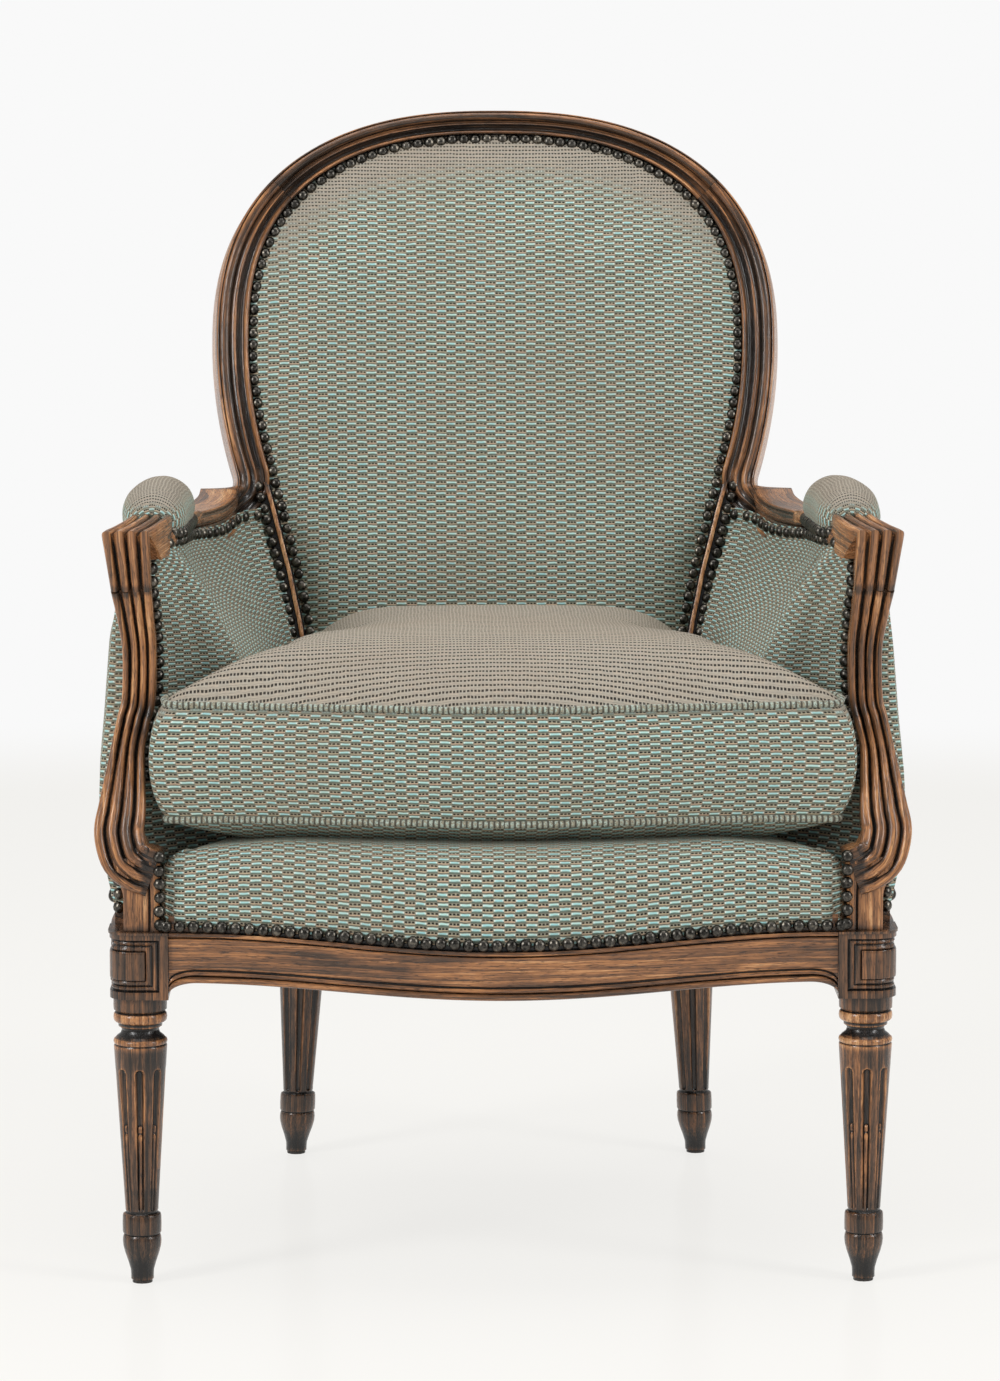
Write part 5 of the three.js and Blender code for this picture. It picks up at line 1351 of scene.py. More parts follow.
# Face of the front rail: how far it stands out, with heights from its lower edge and from its top.
RAIL_FOOT_FACE = [
    (-1.6, 0.0), (0.4, 0.2), (1.8, 1.2), (2.4, 2.8), (1.9, 4.6), (0.2, 5.4), (-0.9, 5.8), (0.2, 6.4),
    (1.3, 7.4), (1.5, 8.6), (1.0, 9.8), (-0.8, 10.4), (-1.0, 11.0), (-0.2, 11.8), (0.1, 13.4), (0.2, 18.0),
]
RAIL_HEAD_FACE = [
    (0.3, -12.0), (0.3, -6.0), (-0.2, -5.4), (-1.2, -4.8), (-0.6, -4.2), (1.0, -3.9), (1.8, -3.2),
    (2.0, -1.8), (1.6, -0.5), (0.4, 0.0),
]
LIP_SHARE = 0.45


def front_rail():
    build = Build()
    rows = []
    grain = []
    lip = -RAIL_THICK * LIP_SHARE
    for share in np.sin(np.linspace(-math.pi / 2, math.pi / 2, 121)):
        x = share * RAIL_END
        bow = float(front_bow(x))
        arch = bow / RAIL_BOW
        along_knee = min((RAIL_END - abs(x)) / RAIL_KNEE_LENGTH, 1)
        knee = math.sqrt(1 - (1 - along_knee) ** 2)
        low = RAIL_LOW + RAIL_KNEE * knee - RAIL_DIP * arch
        top = BLOCK_TOP - RAIL_FACE_DIP * arch
        face = FRONT_FACE + RAIL_REBATE - bow
        ring = [(-RAIL_THICK, RAIL_LEDGE), (lip, RAIL_LEDGE), (lip, low)]
        ring += [(f, low + z) for f, z in RAIL_FOOT_FACE]
        ring += [(f, top + z) for f, z in RAIL_HEAD_FACE]
        ring += [(-RAIL_REBATE, top), (-RAIL_REBATE, RAIL_HIDDEN_TOP), (-RAIL_THICK, RAIL_HIDDEN_TOP)]
        rows.append([(x, face - f, z) for f, z in ring])
        grain.append([(z, f, x) for f, z in ring])
    build.solid(rows, grain)
    return build


SIDE_FOOT_FACE = [(-0.6, 0.0), (0.9, 0.7), (1.3, 2.0), (0.8, 3.3), (-0.5, 3.9), (-0.5, 4.4), (0.0, 5.0)]
SIDE_HEAD_FACE = [(0.0, -5.0), (-0.6, -4.4), (0.4, -3.8), (0.9, -2.4), (0.6, -0.8), (0.0, 0.0)]


def side_rail():
    build = Build()
    points = side_points(50)
    low = RAIL_LOW + RAIL_KNEE - RAIL_DIP
    lip = RAIL_THICK * LIP_SHARE
    run = run_length(points)
    rows = []
    grain = []
    for i, p in enumerate(points):
        tangent = unit(points[min(i + 1, len(points) - 1)] - points[max(i - 1, 0)])
        inward = v(-1, 0) if i in (0, len(points) - 1) else v(-tangent[1], tangent[0])
        ring = [(-f, low + z) for f, z in SIDE_FOOT_FACE]
        ring += [(-f, BLOCK_TOP + z) for f, z in SIDE_HEAD_FACE]
        ring += [
            (RAIL_REBATE, BLOCK_TOP),
            (RAIL_REBATE, RAIL_HIDDEN_TOP),
            (RAIL_THICK, RAIL_HIDDEN_TOP),
            (RAIL_THICK, RAIL_LEDGE),
            (lip, RAIL_LEDGE),
            (lip, low),
        ]
        rows.append([(p[0] + inward[0] * d, p[1] + inward[1] * d, z) for d, z in ring])
        grain.append([(z, d, run[i]) for d, z in ring])
    build.solid(rows, grain)
    return build


make_pair("turned_front_leg", front_leg(), WOOD, "front_leg", worn_span=(FOOT_WORN_AND_LIT, BLOCK_TOP - BLOCK_WORN_AND_LIT))
make_pair("turned_rear_post", rear_post(), WOOD, "rear_post", worn_span=(FOOT_WORN_AND_LIT, BLOCK_TOP + BACK_SPAN))
make("moulded_crest", crest_rail(), WOOD, replaces=("crest_rail",))
make_pair("moulded_armrest", armrest(), WOOD, "armrest", wear=ARM_WEAR_AND_LIGHT)
make_pair("moulded_arm_post", arm_post(), WOOD, "arm_post", wear=ARM_WEAR_AND_LIGHT)
make("bowed_front_rail", front_rail(), WOOD, replaces=("front_rail",), wear=RAIL_WEAR_AND_LIGHT)
make_pair("bowed_side_rail", side_rail(), WOOD, "side_rail")


# Cloth: panels, seams and filling


def inside(points, outline):
    """Which points lie inside a closed outline."""
    x, y = points[:, 0:1], points[:, 1:2]
    a, b = outline, np.roll(outline, -1, axis=0)
    crosses = (a[:, 1] > y) != (b[:, 1] > y)
    rise = np.where(b[:, 1] == a[:, 1], 1e-9, b[:, 1] - a[:, 1])
    return (crosses & (x < (b[:, 0] - a[:, 0]) * (y - a[:, 1]) / rise + a[:, 0])).sum(axis=1) % 2 == 1


def edge_distance(points, outline):
    """Distance from each point to a closed outline."""
    a, b = outline, np.roll(outline, -1, axis=0)
    run = b - a
    size = np.maximum((run**2).sum(axis=1), 1e-9)
    best = np.full(len(points), 1e9)
    for start, way, length in zip(a, run, size):
        share = np.clip(((points - start) @ way) / length, 0, 1)
        best = np.minimum(best, np.linalg.norm(points - start - share[:, None] * way, axis=1))
    return best


def panel(outline, pitch):
    """A flat panel of cloth: its points, the first of them its outline, and its faces."""
    low, high = outline.min(axis=0), outline.max(axis=0)
    xs = np.arange(math.floor(low[0] / pitch), math.ceil(high[0] / pitch) + 1) * pitch
    ys = np.arange(math.floor(low[1] / pitch), math.ceil(high[1] / pitch) + 1) * pitch
    grid = np.stack(np.meshgrid(xs, ys), axis=-1).reshape(-1, 2)
    grid = grid[inside(grid, outline)]
    grid = grid[edge_distance(grid, outline) > 0.55 * pitch]
    points = np.vstack([outline, grid])
    count = len(outline)
    edges = [(i, (i + 1) % count) for i in range(count)]
    made = delaunay_2d_cdt([Vector(p) for p in points.tolist()], edges, [], 1, 1e-6)
    return np.array([list(p) for p in made[0]]), [tuple(face) for face in made[2]], count


def quads(obj):
    """Joins pairs of triangles into quads, which fold and smooth more evenly."""
    limits = {"angle_face_threshold": 0.7, "angle_shape_threshold": 0.7, "cmp_uvs": True}
    edited(obj.data, lambda bm: bmesh.ops.join_triangles(bm, faces=bm.faces, **limits))


CLOTH_FRAMES = 20
CLOTH_SETTINGS = {
    "quality": 6,
    "mass": 0.35,
    "tension_stiffness": 18.0,
    "compression_stiffness": 18.0,
    "shear_stiffness": 6.0,
    "bending_stiffness": 0.6,
    "use_pressure": True,
}


def fill_out(obj, cap, pressure, pinned=None):
    """Fills a cover by cloth simulation, with pinned points held and no point moved further than a cap."""
    scene = bpy.context.scene
    mesh = obj.data
    start = places_of(mesh)
    cloth = obj.modifiers.new("cloth", "CLOTH")
    for key, value in CLOTH_SETTINGS.items():
        setattr(cloth.settings, key, value)
    cloth.settings.uniform_pressure_force = pressure
    cloth.settings.effector_weights.gravity = 0.0
    cloth.collision_settings.use_collision = False
    cloth.point_cache.frame_start = 1
    cloth.point_cache.frame_end = CLOTH_FRAMES
    if pinned is not None:
        group = obj.vertex_groups.new(name="held")
        group.add([int(i) for i in np.flatnonzero(pinned)], 1.0, "REPLACE")
        cloth.settings.vertex_group_mass = "held"
    for step in range(1, CLOTH_FRAMES + 1):
        scene.frame_set(step)
    depsgraph = bpy.context.evaluated_depsgraph_get()
    filled = places_of(obj.evaluated_get(depsgraph).data)
    obj.modifiers.remove(cloth)
    moved = filled - start
    length = np.linalg.norm(moved, axis=1, keepdims=True)
    limit = cap * MM
    moved *= np.where(length > 0, limit * np.tanh(length / limit) / np.maximum(length, 1e-9), 0)
    mesh.vertices.foreach_set("co", (start + moved).ravel())
    mesh.update()
    scene.frame_set(1)


def soften(obj):
    made = obj.modifiers.new("smooth", "SUBSURF")
    made.levels = 1
    made.render_levels = 1


# The nails


DOME_RINGS = 4
DOME_SIDES = 12
DOME_HEIGHT = 0.82
# The dome's skirt reaches under the cloth: its radius and its depth.
SKIRT_RADIUS, SKIRT_DEPTH = 0.96, -0.25


def dome():
    """A nail's head of radius 1, slightly flatter than half a ball, as points and faces."""
    points = [(0, 0, DOME_HEIGHT)]
    round_turns = np.arange(DOME_SIDES) / DOME_SIDES * 2 * math.pi
    for r in range(1, DOME_RINGS + 1):
        turn = r / DOME_RINGS * math.pi / 2
        points += [
            (math.sin(turn) * math.cos(a), math.sin(turn) * math.sin(a), DOME_HEIGHT * math.cos(turn))
            for a in round_turns
        ]
    points += [(SKIRT_RADIUS * x, SKIRT_RADIUS * y, SKIRT_DEPTH) for x, y, _ in points[-DOME_SIDES:]]
    ring = [(k, (k + 1) % DOME_SIDES) for k in range(DOME_SIDES)]
    faces = [(0, 1 + a, 1 + b) for a, b in ring]
    for first in range(1, 1 + DOME_RINGS * DOME_SIDES, DOME_SIDES):
        after = first + DOME_SIDES
        faces += [(first + a, after + a, after + b, first + b) for a, b in ring]
    return np.array(points, dtype=float), faces


DOME_POINTS, DOME_FACES = dome()
# How unevenly nails are driven: spread of their lean, of their size as a share, and of their place.
NAIL_LEAN, NAIL_SPREAD, NAIL_DRIFT = 0.035, 0.015, 0.22


def nails(build, points, facing, pitch=NAIL_PITCH):
    """Nails set evenly along a line of points, each looking the way the nearest point faces."""
    points = np.asarray(points, dtype=float)
    facing = np.asarray(facing, dtype=float)
    run = run_length(points)
    count = max(int(round(run[-1] / pitch)), 1) + 1
    turn = np.random.default_rng(count + len(build.points))
    for place in np.linspace(0, run[-1], count):
        out = unit(unit(sampled(facing, run, place)) + turn.normal(0, NAIL_LEAN, 3))
        side = unit(np.cross(out, v(0.3, 0.2, 1)))
        up = np.cross(out, side)
        size = NAIL_RADIUS * (1 + turn.normal(0, NAIL_SPREAD))
        moved = sampled(points, run, place) + turn.normal(0, NAIL_DRIFT, 3)
        across, along_up, outwards = DOME_POINTS.T[:, :, None]
        build.add(moved + size * (across * side + along_up * up + outwards * out), DOME_FACES)


# The seat

# Up the inner arm's fold: shares of its height, of its way outwards, and of its way forwards.
FOLD_SHARES = [
    (0, 0, 0), (0.48, 0.03, 0), (0.59, 0.08, 0.05), (0.7, 0.2, 0.17), (0.84, 0.45, 0.34),
    (0.95, 0.78, 0.62), (1, 0.98, 0.85),
]
PAD_TOP = 609.0
FOLD_TOP = 623.0
FOLD_X = 204.0
FOLD_Y = 104.0
PAD_FRONT_Y = 30.0
PAD_LAP = 14.0
EAR_PLAY = 1.2
SEAM_POINTS = 300


def fold_at(t):
    inwards, forwards = at_share(FOLD_SHARES, t)
    return v(lerp(FOLD_X, SEAT_HALF, inwards), lerp(FOLD_Y, PAD_FRONT_Y, forwards))


def seat_plan(z, inset, bow):
    """Plan of the seat: bowed front, ears before the arms, sides that draw in to the back."""
    fold = fold_at(np.clip((z - RAIL_HIDDEN_TOP) / (FOLD_TOP - RAIL_HIDDEN_TOP), 0, 1))
    half = SEAT_HALF - inset
    across = np.linspace(0, 0.95, 20)
    front = [(t * half, SEAT_CORNER - bow * math.cos(math.pi / 2 * t) ** 2 + inset) for t in across]
    corner = [
        (half * 0.985, SEAT_CORNER + 1.5 + inset),
        (half - 1.2, SEAT_CORNER + 6 + inset),
        (half + 0.3, SEAT_CORNER + 14 + inset),
    ]
    ear = [(half + EAR_PLAY, EAR_Y - inset - 8), (half - 4, EAR_Y - inset)]
    side = [
        (lerp(fold[0], half, 0.5) - inset / 2, lerp(fold[1], EAR_Y, 0.5) - inset),
        (fold[0] - inset + 3, fold[1] - inset / 2 - 8),
        (fold[0] - inset, fold[1] - inset / 2 + 6),
    ]
    for t in (0.15, 0.35, 0.55, 0.8):
        side.append((lerp(fold[0], SEAT_REAR_HALF, t) - inset, lerp(fold[1], SEAT_REAR_Y, t)))
    rear_side = SEAT_REAR_HALF - inset
    side += [(rear_side, SEAT_REAR_Y - 20), (rear_side - 4, SEAT_REAR_Y - 6 - inset)]
    rear = [
        (SEAT_REAR_HALF * t, SEAT_REAR_Y + SEAT_REAR_BOW * math.cos(math.pi / 2 * t) - inset)
        for t in (0.9, 0.7, 0.5, 0.3, 0.15)
    ]
    right = np.array(front + corner + ear + side + rear)
    left = right[1:][::-1] * v(-1, 1)
    whole = np.vstack([right, [(0, SEAT_REAR_Y + SEAT_REAR_BOW - inset)], left])
    return along(whole, SEAM_POINTS, closed=True)


SEAT_MIDDLE = v(0, 190)
WELT_SET = 1.2
CLOTH_PITCH = 7.0


# Up the deck's edge: shares of its height, and how far it is drawn in.
DECK_RINGS = [
    (0, -3.2), (0.03, -4.2), (0.16, -4.4), (0.4, -2.5), (0.62, 0), (0.8, 3.5), (0.92, 9), (0.98, 15),
    (1.0, 22),
]
DECK_BOW = 50.0
DECK_CORNER_DROP = 11.0
DECK_DROP_SPAN = (190.0, 300.0)
DECK_FRONT = (-14.0, 2.0)
DECK_FRONT_SIDE = (272.0, 286.0)
DECK_LOW_LAP = 4.0
DECK_LAP = 5.0
DECK_PITCH = 12.0


def seat_deck():
    """The sprung deck's cover: nailed to the rails' rebate, over a rolled edge and under the cushion."""
    build = Build()
    table = catmull(DECK_RINGS, np.linspace(0, 1, 26))
    low = RAIL_HIDDEN_TOP - DECK_LAP
    rows = []
    uv = []
    climbed = 0.0
    for k, (up, drawn) in enumerate(table):
        face = seat_plan(RAIL_HIDDEN_TOP, max(drawn, 0), DECK_BOW)
        at_front = (1 - smooth(face[:, 1], *DECK_FRONT)) * (1 - smooth(np.abs(face[:, 0]), *DECK_FRONT_SIDE))
        face[:, 1] += min(drawn, 0) * at_front
        over_bow = np.clip(face[:, 0], -RAIL_BOW_SPAN, RAIL_BOW_SPAN)
        rail_top = BLOCK_TOP - RAIL_FACE_DIP * front_bow(over_bow) / RAIL_BOW
        foot = lerp(low, rail_top + DECK_LOW_LAP, at_front)
        high = DECK_TOP - DECK_CORNER_DROP * smooth(np.abs(face[:, 0]), *DECK_DROP_SPAN)
        row = np.column_stack([face, lerp(foot, high, min(up, 1))])
        if k:
            climbed += float(np.median(np.linalg.norm(row - rows[-1], axis=1)))
        rows.append(row)
        uv.append(np.column_stack([row[:, 0], np.full(SEAM_POINTS, climbed)]))
    build.grid(rows, uv=uv, closed=True)
    flat, faces, _ = panel(rows[-1][:, :2], DECK_PITCH)
    high = DECK_TOP - DECK_CORNER_DROP * smooth(np.abs(flat[:, 0]), *DECK_DROP_SPAN)
    build.add(np.column_stack([flat, high]), faces, uv=flat + v(0, climbed))
    return build


LIFT_LOSS = 0.75
LIFT_LOSS_SPAN = (105.0, 230.0)


def side_lift(y):
    return CUSHION_LIFT * smooth(y, SEAT_CORNER, FOLD_Y) * (1 - LIFT_LOSS * smooth(y, *LIFT_LOSS_SPAN))


def radial_share(points, outline, centre):
    """How far out each point lies from the centre, as a share of the way to the outline."""
    to_edge = outline - centre
    angle = np.arctan2(to_edge[:, 1], to_edge[:, 0])
    order = np.argsort(angle)
    away = points - centre
    reach = np.interp(
        np.arctan2(away[:, 1], away[:, 0]),
        angle[order],
        np.linalg.norm(to_edge, axis=1)[order],
        period=2 * math.pi,
    )
    return np.linalg.norm(away, axis=1) / np.maximum(reach, 1e-6)


BOXING_ROWS = 15
CUSHION_BOW = 38.0
EAR_SEAM = 4.5
EAR_SWELL = 12.0
EAR_FRONT = (8.0, 22.0)
EAR_WIDTH = 40.0
TOP_ROW_RUN = 500.0
TOP_ROW_SHARE = 0.62
# The cushion's crown: shares of a dome over all of it and of a roll by its seam, and the roll's reach.
CROWN_DOME, CROWN_ROLL, CROWN_ROUNDING = 0.62, 0.38, 26.0
# Its underside: distances from the seam, and shares of the way down to the deck.
BELLY = ((0, 12, 40, 80), (0, 0.45, 0.93, 1))
BELLY_GAP = 0.5


def cushion_outline(drawn):
    return seat_plan(CUSHION_LOW, drawn + EAR_PLAY, CUSHION_BOW)


def ear_out(points, swell=0.0):
    """Lets the cushion's ears swell sideways where they stand before the arm posts."""
    beyond = smooth(np.abs(points[:, 0]), SEAT_HALF - EAR_WIDTH, SEAT_HALF - CUSHION_BULGE)
    before = 1 - smooth(points[:, 1], *EAR_FRONT)
    moved = points.copy()
    moved[:, 0] += np.sign(points[:, 0]) * beyond * before * lerp(EAR_SEAM, EAR_SWELL, swell)
    return moved


def seat_cushion():
    """The loose cushion: two panels joined by a boxing, each seam with a welt in it."""
    build = Build()
    seam = ear_out(cushion_outline(CUSHION_BULGE))
    flat, faces, count = panel(seam, CLOTH_PITCH)
    share = np.clip(radial_share(flat, seam, SEAT_MIDDLE), 0, 1)
    share[:count] = 1
    from_edge = edge_distance(flat, seam)
    from_edge[:count] = 0
    crown = CROWN_DOME * (1 - share**2.2) + CROWN_ROLL * (1 - np.exp(-from_edge / CROWN_ROUNDING))
    top = CUSHION_HIGH + side_lift(flat[:, 1]) * share**3 + CUSHION_CROWN * crown
    back = TOP_ROW_SHARE * TOP_ROW_RUN * (1 - np.exp((SEAT_CORNER - CUSHION_BOW - flat[:, 1]) / TOP_ROW_RUN))
    build.add(np.column_stack([flat, top]), faces, uv=np.column_stack([flat[:, 0], back]))
    belly = np.interp(from_edge, *BELLY) * (CUSHION_LOW - DECK_TOP - BELLY_GAP)
    low = CUSHION_LOW - belly
    build.add(np.column_stack([flat, low]), [face[::-1] for face in faces], uv=flat)
    rows = []
    uv = []
    around = np.concatenate([run_length(seam), [0]])[: len(seam)]
    for up in np.linspace(0, 1, BOXING_ROWS):
        full = (1 - (2 * up - 1) ** 2) ** 0.7
        face = ear_out(cushion_outline(CUSHION_BULGE * (1 - full)), full) if 0 < up < 1 else seam
        z = lerp(CUSHION_LOW, CUSHION_HIGH, up) + up * side_lift(face[:, 1])
        rows.append(np.column_stack([face, z]))
        uv.append(np.column_stack([around, np.full(len(face), up * (CUSHION_HIGH - CUSHION_LOW))]))
    rows = [np.vstack([row, row[:1]]) for row in rows]
    total = around[-1] + np.linalg.norm(seam[-1] - seam[0])
    uv = [np.vstack([line, [(total, line[0, 1])]]) for line in uv]
    build.grid(rows, uv=uv)
    return build, len(seam)


CORD_SIDES = 10
CORD_STEP = 1.7
RIB_HEIGHT = 0.5


def welt(build, line):
    """A cord along a closed line of points, covered in ribbed cloth."""
    pts = along(line, int(run_length(np.vstack([line, line[:1]]))[-1] / CORD_STEP), closed=True)
    run = run_length(pts)
    ahead = unit(np.roll(pts, -1, axis=0) - np.roll(pts, 1, axis=0))
    side = unit(np.cross(ahead, v(0, 0, 1)))
    up = np.cross(side, ahead)
    swell = WELT + RIB_HEIGHT * (np.abs(np.sin(np.pi * run / RIB_PITCH)) - 0.6)
    turn = np.linspace(0, 2 * np.pi, CORD_SIDES, endpoint=False)
    whole = run[-1] + np.linalg.norm(pts[-1] - pts[0])
    rows = []
    uv = []
    for k, far in [*enumerate(run), (0, whole)]:
        rows.append(pts[k] + swell[k] * (np.cos(turn)[:, None] * side[k] + np.sin(turn)[:, None] * up[k]))
        uv.append(np.column_stack([np.full(CORD_SIDES, far), turn * WELT]))
    build.grid(rows, uv=uv, closed=True)


def loose_cushion():
    build, count = seat_cushion()
    obj = make_cover("feather_cushion", build, "seat_cushion", body=CUSHION, rubbed=True)
    quads(obj)
    mesh_points = places_of(obj.data) / MM - TO_SHARED
    seam = ear_out(cushion_outline(CUSHION_BULGE))
    wanted = {
        "welt_bottom": np.column_stack([seam, np.full(count, CUSHION_LOW)]),
        "welt_top": np.column_stack([seam, CUSHION_HIGH + side_lift(seam[:, 1])]),
    }
    found = {}
    for name, line in wanted.items():
        found[name] = [int(np.argmin(((mesh_points - p) ** 2).sum(axis=1))) for p in line]
    fill_out(obj, 9.0, 3.0)
    filled = places_of(obj.data) / MM - TO_SHARED
    for name, indices in found.items():
        line = filled[indices]
        middle = line.mean(axis=0)
        line = line + unit((line - middle) * v(1, 1, 0)) * WELT_SET
        cord = Build()
        welt(cord, line)
        made = make_cover(f"piped_{name}", cord, name, PIPING, CUSHION)
    soften(obj)


# The back

BACK_MIDDLE = v(0, 190)
BACK_HELD = 10.0
# The back pad's rise: a flat strip under the nails, a rounding, and a swell towards the middle.
BACK_STRIP, BACK_ROUNDING, BACK_SWELL = 7.0, 17.0, 6.0
BACK_BASE, BACK_EDGE, BACK_FOOT_RUN = 1.6, 0.4, 40.0
BACK_SEAM_POINTS = 340
PLAIN_PITCH = 9.0
BEAD_REACH = 3.6
PAD_MARGIN = 1.0
PAD_LOW = -66.0
OUT_MARGIN = 13.0
OUT_LOW = -150.0


def back_outline(margin, low, inner):
    """Outline of the back's cover, inside the mouldings or on the outside of the frame."""
    edge = []
    for station, p in zip(ARCH_HALF, ARCH_RUN):
        width = station.width + margin if inner else margin
        flat = unit(v(station.across[0], station.across[2] / math.cos(RECLINE)))
        edge.append(p - flat * width)
    edge[0][0] = 0
    reach = -BEAD_REACH if inner else STILE_WIDTH / 2 - margin / 2
    foot = [(stile_x(s) + reach, s) for s in np.linspace(TURN_S - 8, low, 40)]
    right = np.array([*edge, *foot, (foot[-1][0] / 2, low), (0, low)])
    whole = np.vstack([right, right[1:-1][::-1] * v(-1, 1)])
    return along(whole, BACK_SEAM_POINTS, closed=True)


def back_pad():
    build = Build()
    outline = back_outline(PAD_MARGIN, PAD_LOW, True)
    flat, faces, count = panel(outline, CLOTH_PITCH)
    far = edge_distance(flat, outline)
    share = np.clip(radial_share(flat, outline, BACK_MIDDLE), 0, 1)
    rise = np.clip(far - BACK_STRIP, 0, None)
    forward = BACK_BASE + (PAD_CROWN - BACK_STRIP) * (1 - np.exp(-rise / BACK_ROUNDING))
    forward += BACK_SWELL * (1 - share**2) * (far > 0)
    forward[:count] = BACK_EDGE
    low = smooth(flat[:, 1], PAD_LOW, PAD_LOW + BACK_FOOT_RUN)
    build.add(on_back(flat[:, 0], flat[:, 1], forward * low + 1.0 * (1 - low)), faces, uv=flat)
    obj = make_cover("padded_back", build, "back_pad", rubbed=True)
    held = far < BACK_HELD
    quads(obj)
    fill_out(obj, 5.0, 2.5, held if len(held) == len(obj.data.vertices) else None)
    soften(obj)


def outside_back():
    build = Build()
    outline = back_outline(OUT_MARGIN, OUT_LOW, False)
    flat, faces, _ = panel(outline, PLAIN_PITCH)
    far = edge_distance(flat, outline)
    share = np.clip(radial_share(flat, outline, BACK_MIDDLE), 0, 1)
    behind = BACK_DEPTH + 0.7 + 4.3 * smooth(far, -1, 6) + 4.0 * (1 - share**2)
    build.add(on_back(flat[:, 0], flat[:, 1], -behind), faces, uv=flat * v(-1, 1))
    obj = make_cover("outside_cover", build, "back_outside")
    quads(obj)
    soften(obj)


# The arms

# Up the outer arm: shares of its height and of its bulge.
BULGE_SHARES = [
    (0, 0), (0.1, 0.4), (0.25, 0.8), (0.42, 1), (0.62, 0.93), (0.8, 0.84), (0.92, 0.5), (1, 0),
]
OUT_THICK = 6.0
OUT_BULGE = 26.0
OUT_TOP_LAP = 2.0
PANEL_START_SHARE = 0.18
BASE_EDGE = POST_X + BASE_WIDTH / 2 - 11.0
PANEL_POWER = 0.7
DRAWN_IN_SHARE = 0.75
PLAN_POINTS = 60


def level_of(z):
    return (z - BACK_Z) / math.cos(RECLINE)


def panel_z(t, y, drop):
    under = np.interp(-y, -ARM_TABLE[:, 1], ARM_TABLE[:, 2]) - ARM_HEIGHT * (0.5 + drop)
    return lerp(RAIL_HIDDEN_TOP + GAP, under - GAP, t)


def panel_plan(up):
    """Outside of the arm's panel in plan at a share of its height."""
    full = at_share(BULGE_SHARES, up)[0]
    z = lerp(RAIL_HIDDEN_TOP, PAD_TOP, up)
    start = max(post_at(z)[1] + POST_DEPTH + GAP, FRONT_FACE + BASE_SET + BASE_DEPTH + GAP)
    rear_x = stile_x(level_of(z)) + STILE_WIDTH / 2 + GAP
    rear_y = BACK_Y + level_of(z) * math.sin(RECLINE) + BACK_DEPTH / 2
    made = []
    for t in np.linspace(0, 1, PLAN_POINTS):
        y = lerp(start, rear_y, t)
        above = arm_place(float(arm_at(y)))[0] + ARM_CORE / 2 - OUT_TOP_LAP
        below = float(side_face(y)) - RAIL_REBATE
        swell = math.sin(math.pi * lerp(PANEL_START_SHARE, 1, t)) ** PANEL_POWER if t < 1 else 0.0
        x = lerp(below, above, up) + full * OUT_BULGE * swell
        x = lerp(x, rear_x + OUT_THICK, float(smooth(t, DRAWN_IN_SHARE, 1)))
        made.append((x, y))
    made = np.array(made)
    at_x, _, at_width = post_at(z)
    behind = BASE_EDGE if z < BLOCK_TOP + BASE_HEIGHT * 0.8 else at_x + at_width / 2 - 3
    first = v(min(behind, made[0][0] - 4), start - 6)
    turn = [first + (made[0] - first) * v(math.sin(a), 1 - math.cos(a)) for a in np.linspace(0, 1.5, 9)]
    return np.vstack([turn, made])


def grid_uv(rows):
    """Cloth places of a grid: its length along the middle row, and its length up the middle column."""
    rows = np.asarray(rows)
    along_row = run_length(rows[len(rows) // 2])
    up_column = run_length(rows[:, rows.shape[1] // 2])
    return np.stack(np.meshgrid(along_row, up_column), axis=-1)


def outside_grid():
    rows = []
    for up in np.linspace(0, 1, 44):
        plan = panel_plan(up)
        rows.append(np.column_stack([plan, panel_z(up, plan[:, 1], FLANGE_SHARE)]))
    return np.array(rows)


def outside_arm():
    build = Build()
    rows = outside_grid()
    build.grid(rows, uv=grid_uv(rows))
    return build


INSIDE_SHARES = [(0.2, 0.15), (0.4, 0.34), (0.6, 0.56), (0.8, 0.76), (0.92, 0.9)]
# How far the inner cover's upper edge lies over the arm's middle line, along the arm.
INSIDE_TOP = [(0, -3.0), (0.1, 0.0), (0.3, 1.5), (0.42, 4.0), (0.6, 6.0), (0.75, 9.0), (0.9, 10.0), (1, 10.0)]
STILE_LAP = 1.0
FLANK_POINTS, FLOW_POINTS = 24, 61


def inside_row(t):
    z = lerp(RAIL_HIDDEN_TOP, FOLD_TOP, t)
    at_x, at_y, at_width = post_at(z)
    fold = fold_at(t)
    front_y = max(at_y + PAD_LAP, PAD_FRONT_Y)
    front_x = at_x - at_width / 2 + POST_RELIEF
    level = level_of(min(z, PAD_TOP))
    bead = stile_x(level) + BEAD_REACH
    stile_side = stile_x(level) + STILE_WIDTH / 2 + GAP
    rear_y = float(on_back(stile_side, level, STILE_LAP)[1])

    def under_arm(inwards, back):
        p = v(lerp(fold[0], stile_side, inwards), lerp(fold[1], rear_y, back))
        share = float(arm_at(p[1]))
        inner = arm_place(share)[0] - ARM_THICK / 2 - 5 - 4 * float(smooth(share, 0.3, 0.4))
        return v(lerp(p[0], inner, float(smooth(2 * t, 1, 2))), p[1])

    corner = v(max(front_x, fold[0]), min(front_y, fold[1]))
    flank = [corner, (corner + fold) / 2, fold]
    on_stile = [v(stile_side, rear_y), v(bead, float(on_back(bead, level, STILE_LAP)[1]))]
    inner = [under_arm(*shares) for shares in INSIDE_SHARES] + on_stile
    soft = 1.0 - 0.75 * float(smooth(t, 0.6, 0.95))
    first = along(np.array(flank), FLANK_POINTS)
    second = along(catmull([fold, *inner], np.linspace(0, 1, 60)), FLOW_POINTS)[1:]
    row = np.vstack([first, second])
    for _ in range(int(round(16 * soft)) + 1):
        row[1:-1] = (row[:-2] + 2 * row[1:-1] + row[2:]) / 4
    return row


